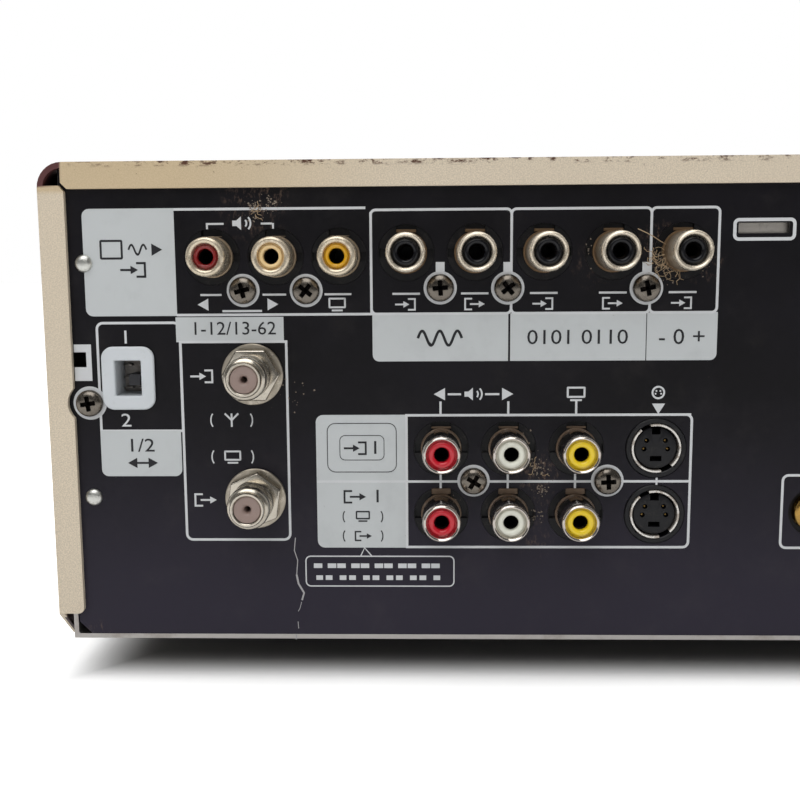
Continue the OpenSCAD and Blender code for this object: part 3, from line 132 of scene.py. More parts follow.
class Bench:
    """Modelling steps, each made with Blender's own operators on one mesh."""

    @staticmethod
    def only(*pieces: Piece) -> None:
        """Selects these pieces and nothing else.

        Args:
            pieces: The pieces; the last one becomes active.
        """
        bpy.ops.object.select_all(action="DESELECT")
        for piece in pieces:
            piece.select_set(True)
        bpy.context.view_layer.objects.active = pieces[-1]

    @classmethod
    def edit(cls, piece: Piece) -> None:
        """Opens one piece in edit mode with all of it selected.

        Args:
            piece: The piece.
        """
        cls.only(piece)
        bpy.ops.object.mode_set(mode="EDIT")
        bpy.ops.mesh.select_all(action="SELECT")

    @staticmethod
    def close(name: str | None = None) -> Piece:
        """Leaves edit mode.

        Args:
            name: Name that the piece gets, if any.

        Returns:
            The piece.
        """
        bpy.ops.object.mode_set(mode="OBJECT")
        piece = bpy.context.object
        if name:
            piece.name = piece.data.name = name
        return piece

    @staticmethod
    def outwards() -> None:
        """Points every face of the mesh in edit mode outwards."""
        bpy.ops.mesh.select_all(action="SELECT")
        bpy.ops.mesh.normals_make_consistent(inside=False)

    @staticmethod
    def apply_place(piece: Piece) -> Piece:
        """Moves the place, turn and scale of the selected piece into its mesh."""
        bpy.ops.object.transform_apply(location=True, rotation=True, scale=True)
        return piece

    @classmethod
    def swung(cls, piece: Piece, degrees: float) -> Piece:
        """Turns a piece about the axis that its face looks along.

        Args:
            piece: A piece that faces +Y.
            degrees: The angle.

        Returns:
            The same piece, turned in its mesh.
        """
        piece.matrix_world = Matrix.Rotation(radians(degrees), 4, "Y")
        cls.only(piece)
        return cls.apply_place(piece)

    @classmethod
    def seed(cls, at: Vector) -> None:
        """Starts a mesh in edit mode that holds one selected point.

        Args:
            at: The point, in metres.
        """
        bpy.ops.object.select_all(action="DESELECT")
        bpy.ops.mesh.primitive_plane_add(size=MM, location=(0, 0, 0))
        bpy.ops.object.mode_set(mode="EDIT")
        bpy.ops.mesh.merge(type="CENTER")
        bpy.ops.mesh.select_all(action="SELECT")
        bpy.ops.transform.translate(value=at)

    @classmethod
    def trace(cls, points: Sequence[Vector]) -> None:
        """Starts a mesh in edit mode and extrudes its one point along the others.

        Args:
            points: The points, in metres.
        """
        cls.seed(points[0])
        for here, there in zip(points, points[1:]):
            bpy.ops.mesh.extrude_region_move(TRANSFORM_OT_translate={"value": there - here})

    @classmethod
    def turned(cls, name: str, outline: Sequence[Point], turn: Turn = Turn.Y, steps: int = 64,
               centre: Place = (0, 0, 0), arc: float = 360.0, start: float = 0.0,
               smooth: float = 35.0) -> Piece:
        """Spins an outline round an axis.

        Args:
            name: Name of the piece.
            outline: [radius, height along the axis] pairs in mm.
            turn: The axis.
            steps: Number of steps round the full arc.
            centre: A point on the axis, in metres.
            arc: Angle that the outline is spun through, in degrees.
            start: Angle at which it starts, in degrees.
            smooth: Largest angle between faces that are shaded smooth, in degrees.

        Returns:
            The closed piece.
        """
        axis, out = (Vector(v) for v in turn.value)
        out = Matrix.Rotation(radians(start), 3, axis) @ out
        base = Vector(centre)
        cls.trace([base + out * r * MM + axis * h * MM for r, h in outline])
        bpy.ops.mesh.select_all(action="SELECT")
        bpy.ops.mesh.spin(steps=steps, angle=radians(arc), center=base, axis=axis)
        bpy.ops.mesh.select_all(action="SELECT")
        bpy.ops.mesh.remove_doubles(threshold=1e-6)
        if arc < 360:
            bpy.ops.mesh.fill_holes(sides=0)
        cls.outwards()
        return cls.shaded(cls.close(name), smooth)

    @classmethod
    def block(cls, name: str, low: Place, high: Place, edge: float = 0.0,
              segments: int = 2) -> Piece:
        """A box with rounded edges.

        Args:
            name: Name of the piece.
            low: Lowest corner in mm.
            high: Highest corner in mm.
            edge: Radius of its edges in mm.
            segments: Steps round each edge.

        Returns:
            The piece.
        """
        bpy.ops.object.select_all(action="DESELECT")
        middle = [(a + b) / 2 * MM for a, b in zip(low, high)]
        size = [(b - a) * MM for a, b in zip(low, high)]
        bpy.ops.mesh.primitive_cube_add(size=1, location=middle, scale=size)
        piece = cls.apply_place(bpy.context.object)
        piece.name = name
        return cls.rounded(piece, edge, segments) if edge else piece

    @classmethod
    def plate(cls, name: str, outline: Sequence[Point], low: float, high: float,
              turn: Turn = Turn.Y) -> Piece:
        """Extrudes a closed outline along an axis.

        Args:
            name: Name of the piece.
            outline: Corners in mm in the two directions across the axis, in the order X, Y, Z.
            low: Where it starts along the axis, in mm.
            high: Where it ends, in mm.
            turn: The axis.

        Returns:
            The piece.
        """
        along = Vector(turn.value[0])
        across = [Vector(v) for v in ((1, 0, 0), (0, 1, 0), (0, 0, 1)) if Vector(v) != along]
        cls.trace([(across[0] * a + across[1] * b + along * low) * MM for a, b in outline])
        bpy.ops.mesh.select_all(action="SELECT")
        bpy.ops.mesh.edge_face_add()
        bpy.ops.mesh.extrude_region_move(TRANSFORM_OT_translate={"value": along * (high - low) * MM})
        cls.outwards()
        return cls.close(name)

    @classmethod
    def shaded(cls, piece: Piece, angle: float = 35.0) -> Piece:
        """Shades the piece smooth where its faces meet at less than the angle.

        Args:
            piece: The piece.
            angle: The angle in degrees.

        Returns:
            The same piece.
        """
        cls.only(piece)
        bpy.ops.object.shade_smooth_by_angle(angle=radians(angle))
        return piece

    @classmethod
    def rounded(cls, piece: Piece, edge: float, segments: int = 2,
                angle: float = 40.0) -> Piece:
        """Rounds the piece's sharp edges with an applied bevel.

        Args:
            piece: The piece.
            edge: Width of the bevel in mm.
            segments: Steps across it.
            angle: Least angle between faces at which an edge counts as sharp.

        Returns:
            The same piece.
        """
        cls.only(piece)
        bevel = piece.modifiers.new("edges", "BEVEL")
        bevel.width = edge * MM
        bevel.segments = segments
        bevel.limit_method = "ANGLE"
        bevel.angle_limit = radians(angle)
        bevel.use_clamp_overlap = True
        bpy.ops.object.modifier_apply(modifier=bevel.name)
        cls.shaded(piece, 32)
        even = piece.modifiers.new("flats", "WEIGHTED_NORMAL")
        even.keep_sharp = True
        bpy.ops.object.modifier_apply(modifier=even.name)
        return piece

    @classmethod
    def cut(cls, piece: Piece, *tools: Piece) -> Piece:
        """Takes closed tools out of the piece and removes them.

        Args:
            piece: The piece.
            tools: The tools. They are used up.

        Returns:
            The same piece.
        """
        for tool in tools:
            cls.only(piece)
            boolean = piece.modifiers.new("cut", "BOOLEAN")
            boolean.operation = "DIFFERENCE"
            boolean.solver = "EXACT"
            boolean.object = tool
            bpy.ops.object.modifier_apply(modifier=boolean.name)
            bpy.data.objects.remove(tool)
        return cls.shaded(piece, 30)

    @classmethod
    def joined(cls, name: str, pieces: Sequence[Piece]) -> Piece:
        """Joins pieces into one mesh of separate shells.

        Args:
            name: Name of the result.
            pieces: The pieces. They are used up.

        Returns:
            The joined piece.
        """
        cls.only(*pieces)
        if len(pieces) > 1:
            bpy.ops.object.join()
        piece = bpy.context.object
        piece.name = piece.data.name = name
        return piece

    @classmethod
    def stamped(cls, name: str, master: Piece, places: Iterable[Vector],
                turns: Sequence[float] = (0.0,), side: Side = Side.REAR) -> Piece:
        """Copies a piece modelled at the origin, facing +Y, to several places.

        Args:
            name: Name of the joined result.
            master: The piece to copy. It is used up.
            places: Where each copy goes, in metres.
            turns: Angles about the outward axis in degrees, used in turn.
            side: The face that the copies look out of.

        Returns:
            One piece that holds every copy.
        """
        copies = []
        for index, place in enumerate(places):
            cls.only(master)
            bpy.ops.object.duplicate(linked=False)
            copy = bpy.context.object
            half_turn = 0.0 if side is Side.REAR else pi
            spin = radians(turns[index % len(turns)])
            copy.matrix_world = (Matrix.Translation(place) @ Matrix.Rotation(half_turn, 4, "Z")
                                 @ Matrix.Rotation(spin, 4, "Y"))
            copies.append(copy)
        bpy.data.objects.remove(master)
        cls.only(*copies)
        cls.apply_place(copies[-1])
        return cls.joined(name, copies)

    @classmethod
    def softened(cls, node: Piece, name: str, edge: float,
                 segments: int = 2) -> Piece:
        """A copy of a CAD node's mesh with merged faces and rounded edges.

        Args:
            node: The node.
            name: Name of the new piece.
            edge: Width of the rounded edges in mm.
            segments: Steps across them.

        Returns:
            The new piece.
        """
        piece = bpy.data.objects.new(name, node.data.copy())
        piece.data.name = name
        bpy.context.collection.objects.link(piece)
        piece.data.materials.clear()
        cls.edit(piece)
        bpy.ops.mesh.customdata_custom_splitnormals_clear()
        bpy.ops.mesh.remove_doubles(threshold=2e-6)
        bpy.ops.mesh.dissolve_limited(angle_limit=radians(0.4))
        cls.close()
        return cls.rounded(piece, edge, segments) if edge else cls.shaded(piece, 32)


def polar(radius: float, degrees: float) -> Point:
    """The point at a distance and an angle from the origin."""
    return radius * cos(radians(degrees)), radius * sin(radians(degrees))


def corners(left: float, low: float, right: float, high: float, radii: Radii,
            steps: int = 5) -> list[Point]:
    """Outline of a box with its own radius at each corner.

    Args:
        left: Left edge.
        low: Lower edge.
        right: Right edge.
        high: Upper edge.
        radii: Radius of the right upper, left upper, left lower and right lower corner.
        steps: Steps round a corner.

    Returns:
        Its points, counter-clockwise.
    """
    points: list[Point] = []
    spots = ((right, high, -1, -1, 0), (left, high, 1, -1, 90), (left, low, 1, 1, 180),
             (right, low, -1, 1, 270))
    for (x, y, sx, sy, start), radius in zip(spots, radii):
        if not radius:
            points.append((x, y))
            continue
        for step in range(steps + 1):
            dx, dy = polar(radius, start + 90 * step / steps)
            points.append((x + sx * radius + dx, y + sy * radius + dy))
    return points


# ---------------- finishes


def tone(red: int, green: int, blue: int) -> Colour:
    """Linear colour of an 8-bit display colour."""
    return tuple(((c / 255 + 0.055) / 1.055) ** 2.4 if c > 10 else c / 3294.6 for c in (red, green, blue))


class Graph:
    """Nodes of a material or of the world, under construction."""

    def __init__(self, owner: bpy.types.Material | bpy.types.World, shader: str = "Principled BSDF",
                 coords: str = "Object") -> None:
        """Starts the nodes.

        Args:
            owner: The material or the world.
            shader: Name of its shader node.
            coords: Coordinates that its patterns read.
        """
        owner.use_nodes = True
        self.tree = owner.node_tree
        self.shader = self.tree.nodes[shader]
        self.coords = self.tree.nodes.new("ShaderNodeTexCoord").outputs[coords]

    def feed(self, target: Socket, value: Socket | float | Sequence[float]) -> None:
        """Links a socket into the target, or sets the target to a value.

        Args:
            target: Input socket.
            value: Output socket, number or colour.
        """
        if isinstance(value, bpy.types.NodeSocket):
            self.tree.links.new(value, target)
        elif hasattr(target.default_value, "__len__") and len(target.default_value) == 4:
            target.default_value = (*value[:3], 1.0)
        else:
            target.default_value = value

    def put(self, **values: Socket | float | Colour) -> None:
        """Feeds the shader's sockets; underscores in the names stand for spaces."""
        for name, value in values.items():
            self.feed(self.shader.inputs[name.replace("_", " ").title().replace("Ior", "IOR")], value)

    def math(self, operation: str, *values: Socket | float) -> Socket:
        """One arithmetic step.

        Args:
            operation: Blender's name of it.
            values: What it works on.

        Returns:
            Its result.
        """
        node = self.tree.nodes.new("ShaderNodeMath")
        node.operation = operation
        for target, value in zip(node.inputs, values):
            self.feed(target, value)
        return node.outputs[0]

    def times(self, *values: Socket | float) -> Socket:
        """Product of the values."""
        return reduce(partial(self.math, "MULTIPLY"), values)

    def noise(self, per_mm: float, detail: float = 3.0, stretch: Place = (1, 1, 1),
              seed: float = 0.0, rough: float = 0.55) -> Socket:
        """Noise with a number of features per millimetre.

        Args:
            per_mm: Features per millimetre.
            detail: Octaves.
            stretch: Factor on the frequency along each axis.
            seed: Shift that gives another pattern.
            rough: Weight of the finer octaves.

        Returns:
            A value round 0.5.
        """
        mapping = self.tree.nodes.new("ShaderNodeMapping")
        mapping.inputs["Scale"].default_value = stretch
        mapping.inputs["Location"].default_value = (seed, seed * 0.7, -seed)
        self.feed(mapping.inputs["Vector"], self.coords)
        node = self.tree.nodes.new("ShaderNodeTexNoise")
        self.feed(node.inputs["Vector"], mapping.outputs[0])
        node.inputs["Scale"].default_value = per_mm / MM
        node.inputs["Detail"].default_value = detail
        node.inputs["Roughness"].default_value = rough
        return node.outputs["Fac"]

    def ramp(self, value: Socket, low: float, high: float, start: float = 0.0,
             end: float = 1.0) -> Socket:
        """Smooth step of a value.

        Args:
            value: The value.
            low: Where the step begins.
            high: Where it ends.
            start: Result below it.
            end: Result above it.

        Returns:
            The result.
        """
        node = self.tree.nodes.new("ShaderNodeMapRange")
        node.interpolation_type = "SMOOTHSTEP"
        for name, number in zip(("From Min", "From Max", "To Min", "To Max"), (low, high, start, end)):
            node.inputs[name].default_value = number
        self.feed(node.inputs["Value"], value)
        return node.outputs[0]

    def mix(self, amount: Socket | float, first: Socket | Colour | float,
            second: Socket | Colour | float, number: bool = False) -> Socket:
        """Blend of two colours.

        Args:
            amount: Share of the second.
            first: The first.
            second: The second.
            number: Whether they are numbers instead.

        Returns:
            The blend.
        """
        node = self.tree.nodes.new("ShaderNodeMix")
        node.data_type = "FLOAT" if number else "RGBA"
        start = 2 if number else 6
        for index, value in ((0, amount), (start, first), (start + 1, second)):
            self.feed(node.inputs[index], value)
        return node.outputs[0 if number else 2]

    def axis(self, letter: str) -> Socket:
        """The place along an axis, in metres.

        Args:
            letter: X, Y or Z.

        Returns:
            The place.
        """
        node = self.tree.nodes.new("ShaderNodeSeparateXYZ")
        self.feed(node.inputs[0], self.coords)
        return node.outputs[letter]

    def near(self, centre: Vector, inner: float, outer: float) -> Socket:
        """Mask that is 1 round a place and falls to 0.

        Args:
            centre: The place, in metres.
            inner: Distance at which it starts to fall, in mm.
            outer: Distance at which it is 0, in mm.

        Returns:
            The mask.
        """
        node = self.tree.nodes.new("ShaderNodeVectorMath")
        node.operation = "DISTANCE"
        self.feed(node.inputs[0], self.coords)
        node.inputs[1].default_value = centre
        return self.ramp(node.outputs["Value"], inner * MM, outer * MM, 1.0, 0.0)

    def bump(self, height: Socket, depth: float, strength: float = 1.0) -> None:
        """Feeds the shader's normal from a height.

        Args:
            height: The height, 0 to 1.
            depth: Its full depth in mm.
            strength: How much of it shows.
        """
        node = self.tree.nodes.new("ShaderNodeBump")
        node.inputs["Strength"].default_value = strength
        node.inputs["Distance"].default_value = depth * MM
        self.feed(node.inputs["Height"], height)
        self.feed(self.shader.inputs["Normal"], node.outputs[0])


@dataclass(frozen=True)
class Finish:
    """A finish with a name, a base colour and a roughness; subclasses paint the material."""

    name: str
    colour: Colour
    roughness: float = 0.5

    def paint(self, graph: Graph) -> None:
        """Fills the material's nodes."""
        raise NotImplementedError

    def material(self) -> bpy.types.Material:
        """The finish's material, made on first use.

        Returns:
            The material.
        """
        name = f"{self.name}_finish"
        if name not in bpy.data.materials:
            self.paint(Graph(bpy.data.materials.new(name)))
        return bpy.data.materials[name]

    def shade(self, factor: float) -> Colour:
        """The base colour times a factor."""
        return tuple(min(1.0, c * factor) for c in self.colour)


@dataclass(frozen=True)
class Plastic(Finish):
    """Moulded plastic with a faint mottle and, where asked, a fine grain."""

    grain: float = 0.0
    coat: float = 0.0
    gloss: float = 0.5
    dust: float = 0.0
    dust_tone: Colour = (0.23, 0.2, 0.17)
    mottle: float = 0.02

    def paint(self, graph: Graph) -> None:
        """Mottles the colour and the gloss, adds dust in patches, and grain as fine bumps.

        Args:
            graph: The material's nodes.
        """
        mottle = graph.noise(0.12, 4, seed=3.1)
        colour = graph.mix(graph.ramp(mottle, 0.3, 0.7), self.shade(1 - self.mottle),
                           self.shade(1 + self.mottle))
        if self.dust:
            patches = graph.times(graph.ramp(graph.noise(0.35, 5, seed=8.0), 0.48, 0.72),
                                  graph.ramp(graph.noise(2.4, 5, seed=5.0), 0.42, 0.7), self.dust)
            colour = graph.mix(patches, colour, self.dust_tone)
        graph.put(base_color=colour,
                  roughness=graph.ramp(mottle, 0.3, 0.7, self.roughness * 0.9, self.roughness * 1.1),
                  specular_ior_level=self.gloss, coat_weight=self.coat, coat_roughness=0.08)
        if self.grain:
            graph.bump(graph.noise(3.0, 2), self.grain)


@dataclass(frozen=True)
class Metal(Finish):
    """Bare or plated metal, brushed along an axis where asked, with stains."""

    stretch: Place = (1, 1, 1)
    brush: float = 0.0
    stain: Colour = (0.1, 0.07, 0.05)
    stained: float = 0.15
    stain_size: float = 0.25

    def paint(self, graph: Graph) -> None:
        """Brushes the roughness and blends stains into the colour.

        Args:
            graph: The material's nodes.
        """
        lines = graph.noise(1.2, 3, self.stretch, 2.0)
        spots = graph.ramp(graph.noise(self.stain_size, 6, seed=1.7, rough=0.7), 0.5, 0.75)
        amount = graph.times(spots, self.stained)
        colour = graph.mix(graph.ramp(lines, 0.3, 0.7), self.shade(0.94), self.shade(1.04))
        graph.put(base_color=graph.mix(amount, colour, self.stain),
                  roughness=graph.math("ADD", graph.ramp(lines, 0.3, 0.7, self.roughness * 0.85,
                                                         self.roughness * 1.15),
                                       graph.times(amount, 0.3)),
                  metallic=graph.math("SUBTRACT", 1.0, graph.times(amount, 0.6)))
        if self.brush:
            graph.bump(lines, self.brush)


@dataclass(frozen=True)
class Plating(Finish):
    """Nickel plating of the sockets, tarnished towards the panel."""

    base_y: float = 0.18
    tarnish: Colour = (0.2, 0.13, 0.07)
    reach: float = 3.0
    amount: float = 0.8
    grime: float = 0.25
    metal: float = 1.0

    def paint(self, graph: Graph) -> None:
        """Blends the tarnish in by the distance from the panel, broken up by noise.

        Args:
            graph: The material's nodes.
        """
        out = graph.math("SUBTRACT", graph.axis("Y"), self.base_y)
        wobble = graph.noise(0.5, 5, seed=4.0, rough=0.65)
        depth = graph.math("ADD", out, graph.times(graph.math("SUBTRACT", wobble, 0.5), 0.006))
        rear = graph.math("GREATER_THAN", graph.axis("Y"), 0.0)
        low = graph.times(graph.ramp(depth, 0.0002, self.reach * MM, self.amount, 0.0), rear)
        spots = graph.ramp(graph.noise(0.7, 3, seed=9.0, rough=0.6), 0.56, 0.72, 0.0, self.grime)
        amount = graph.math("MAXIMUM", low, spots)
        graph.put(base_color=graph.mix(amount, self.colour, self.tarnish),
                  roughness=graph.math("ADD", graph.ramp(amount, 0, 1, self.roughness, 0.42),
                                       graph.ramp(graph.noise(0.8, 2, seed=6.0), 0.4, 0.8, 0.0, 0.05)),
                  metallic=graph.ramp(amount, 0.3, 1.0, self.metal, 0.7 * self.metal))
        graph.bump(graph.noise(0.6, 1, seed=2.0), 0.003, 0.3)


@dataclass(frozen=True)
class CoverPaint(Finish):
    """Flecked pale paint outside, dark priming inside, rust along the upper rear edge, and painted shade in
    rust colours along the side flange's outer edge.
    """

    casing: Casing | None = None
    sheet: float = 0.6
    bend: float = 5.5
    primer: Colour = tone(92, 54, 54)
    aged: Colour = tone(196, 170, 124)
    inside: Colour = tone(52, 30, 34)
    rust: Colour = tone(104, 66, 44)

    def paint(self, graph: Graph) -> None:
        """Layers the fleck, the priming inside the sheet and the rust.

        Args:
            graph: The material's nodes.
        """
        case = self.casing
        x, y, z = (graph.axis(letter) for letter in "XYZ")
        fleck = graph.ramp(graph.noise(3.4, 2, seed=1.0), 0.36, 0.66)
        cloud = graph.ramp(graph.noise(0.02, 4, seed=7.0), 0.3, 0.7)
        colour = graph.mix(fleck, self.shade(0.86), self.shade(1.1))
        colour = graph.mix(graph.times(cloud, 0.35), colour, self.shade(0.9))
        aged = graph.times(graph.ramp(x, 0.13, 0.19),
                           graph.ramp(z, case.top_z - 7 * MM, case.top_z - 5.7 * MM),
                           graph.ramp(y, case.rear_y - 4 * MM, case.rear_y - 0.5 * MM), 0.6)
        colour = graph.mix(aged, colour, self.aged)
        half = graph.math("ABSOLUTE", x)
        bend = self.bend * MM
        aside = graph.math("MAXIMUM", graph.math("SUBTRACT", half, case.side_x - bend), 0.0)
        above = graph.math("MAXIMUM", graph.math("SUBTRACT", z, case.top_z - bend), 0.0)
        away = graph.math("SQRT", graph.math("ADD", graph.times(aside, aside), graph.times(above, above)))
        depth = graph.math("SUBTRACT", away, bend - self.sheet * MM)
        depth = graph.math("MAXIMUM", depth, graph.math("SUBTRACT", y, case.rear_y - 0.2 * MM))
        rim = graph.times(graph.ramp(graph.times(aside, above), 0.0, 3e-6),
                          graph.ramp(y, case.rear_y - 3 * MM, case.rear_y - 1.6 * MM))
        within = graph.math("LESS_THAN", depth, 0.0)
        # the top term is rust; the side term darkens the side flange's outer edge in the rust colours as
        # painted shade
        edge = graph.math("MAXIMUM",
                          graph.ramp(z, case.top_z - 1.5 * MM, case.top_z - 0.6 * MM),
                          graph.ramp(half, case.side_x - 0.8 * MM, case.side_x - 0.1 * MM, 0.0, 0.35))
        rear = graph.ramp(y, case.rear_y - 7 * MM, case.rear_y - 1.5 * MM)
        span = graph.times(graph.ramp(x, 0.03, 0.07), graph.ramp(x, 0.19, 0.205, 1.0, 0.4))
        blotch = graph.ramp(graph.noise(0.4, 6, (1, 1, 2.2), 5.5, 0.72), 0.5, 0.62)
        worn = graph.times(edge, rear, graph.ramp(span, 0.0, 1.0, 0.12, 1.0), blotch)
        specks = graph.ramp(graph.noise(1.4, 4, seed=12.0, rough=0.7), 0.66, 0.72)
        by_edge = graph.ramp(z, case.top_z - 5 * MM, case.top_z - 1 * MM)
        worn = graph.math("MAXIMUM", worn,
                          graph.times(specks, graph.ramp(span, 0.0, 1.0, 0.1, 0.8), by_edge, rear))
        rust = graph.mix(graph.noise(1.9, 4, seed=3.0), self.rust, tone(58, 34, 30))
        colour = graph.mix(worn, colour, rust)
        colour = graph.mix(rim, colour, self.primer)
        colour = graph.mix(within, colour, self.inside)
        graph.put(base_color=colour, roughness=graph.ramp(worn, 0, 1, self.roughness, 0.8),
                  specular_ior_level=0.4)
        graph.bump(graph.noise(2.6, 2, seed=1.0), 0.03, 0.5)


@dataclass(frozen=True)
class PanelPaint(Finish):
    """Near-black panel paint with dust and dirt smears, and a painted reflection of the floor that lightens
    it towards its foot.
    """

    smears: tuple[tuple[Vector, float, float], ...] = ()
    # low is a painted reflection of the floor: the lighter tone towards the panel's foot, also used as the
    # mottle's tone; the next field gives the heights in metres over which it fades into the base colour
    low: Colour = tone(42, 38, 51)
    fade: Point = (0.012, 0.066)

    def paint(self, graph: Graph) -> None:
        """Paints the floor's reflection as a lighter tone towards the foot, and lays dust in patches and
        thicker dirt round the given places.

        Args:
            graph: The material's nodes.
        """
        mottle = graph.noise(0.05, 5, seed=2.0)
        # painted reflection: lighter at the foot, fading to the base colour higher up
        colour = graph.mix(graph.ramp(graph.axis("Z"), *self.fade), self.low, self.colour)
        colour = graph.mix(graph.ramp(mottle, 0.3, 0.7, 0.0, 0.12), colour, self.low)
        film = graph.ramp(graph.noise(0.09, 6, seed=6.0, rough=0.65), 0.5, 0.85, 0.0, 0.03)
        colour = graph.mix(film, colour, tone(150, 142, 132))
        specks = graph.ramp(graph.noise(1.7, 3, seed=9.0, rough=0.6), 0.73, 0.78, 0.0, 0.5)
        colour = graph.mix(specks, colour, tone(126, 112, 98))
        flakes = graph.ramp(graph.noise(0.9, 6, (1, 1, 0.5), 4.0, 0.75), 0.5, 0.68)
        for centre, radius, strength in self.smears:
            mask = graph.times(graph.near(centre, radius * 0.15, radius), strength, flakes)
            colour = graph.mix(mask, colour, tone(132, 108, 92))
        graph.put(base_color=colour,
                  roughness=graph.ramp(graph.noise(0.8, 3, seed=3.0), 0.3, 0.7, self.roughness * 0.85,
                                       self.roughness * 1.2),
                  specular_ior_level=0.24)
        graph.bump(graph.noise(2.2, 2, seed=5.0), 0.012, 0.5)


@dataclass(frozen=True)
class Ink(Finish):
    """Printed ink, scuffed and soiled in places."""

    scuff: float = 0.25
    under: Colour = tone(120, 116, 112)

    def paint(self, graph: Graph) -> None:
        """Blends soft soiling and small worn spots into the ink.

        Args:
            graph: The material's nodes.
        """
        soil = graph.ramp(graph.noise(0.11, 6, seed=2.5, rough=0.7), 0.46, 0.75, 0.0, self.scuff)
        spots = graph.ramp(graph.noise(1.1, 5, seed=7.5, rough=0.7), 0.66, 0.74, 0.0, self.scuff * 1.6)
        colour = graph.mix(soil, self.colour, self.shade(0.8))
        graph.put(base_color=graph.mix(spots, colour, self.under), roughness=self.roughness,
                  specular_ior_level=0.35)


@dataclass(frozen=True)
class Glass(Finish):
    """Smoked window that lets the display behind it show."""

    def paint(self, graph: Graph) -> None:
        """Tints clear plastic, with faint wiping marks in its gloss.

        Args:
            graph: The material's nodes.
        """
        marks = graph.noise(0.06, 4, (1, 1, 3), 2.0)
        graph.put(base_color=graph.mix(graph.ramp(marks, 0.4, 0.7), self.shade(0.95), self.colour),
                  roughness=graph.ramp(marks, 0.4, 0.7, self.roughness, self.roughness * 2),
                  transmission_weight=1.0, ior=1.49)


@dataclass(frozen=True)
class Rust(Finish):
    """Loose dirt and lint: matt, with patches of two browns."""

    second: Colour = (0.3, 0.2, 0.1)

    def paint(self, graph: Graph) -> None:
        """Mixes the two browns by noise."""
        graph.put(base_color=graph.mix(graph.noise(1.5, 4, seed=3.0), self.colour, self.second),
                  roughness=self.roughness)


# ---------------- camera and light


@dataclass(frozen=True)
class PhotoCamera:
    """The photograph's camera: lens place in mm from the panel and turns in degrees."""

    from_panel: float = 216.0
    side: float = 131.85
    height: float = 93.0
    down: float = 7.578
    turned: float = -1.616
    rolled: float = -0.397
    lens: float = 45.0
    sensor: float = 36.0

    def place(self, casing: Casing) -> None:
        """Creates the camera and makes it the scene's.

        Args:
            casing: The casing that it looks at.
        """
        down, turned, rolled = (radians(a) for a in (self.down, self.turned, self.rolled))
        ahead = Vector((-sin(turned) * cos(down), -cos(turned) * cos(down),
                        -sin(down)))
        level = Vector((-cos(turned), sin(turned), 0))
        upright = level.cross(ahead)
        right = level * cos(rolled) + upright * sin(rolled)
        up = upright * cos(rolled) - level * sin(rolled)
        turn = Matrix((right, up, -ahead)).transposed().to_4x4()
        spot = Vector((self.side * MM, casing.rear_y + self.from_panel * MM, self.height * MM))
        bpy.ops.object.camera_add()
        camera = bpy.context.object
        camera.name = "photo_camera"
        camera.matrix_world = Matrix.Translation(spot) @ turn
        camera.data.lens = self.lens
        camera.data.sensor_width = self.sensor
        camera.data.clip_start = 0.01
        bpy.context.scene.camera = camera


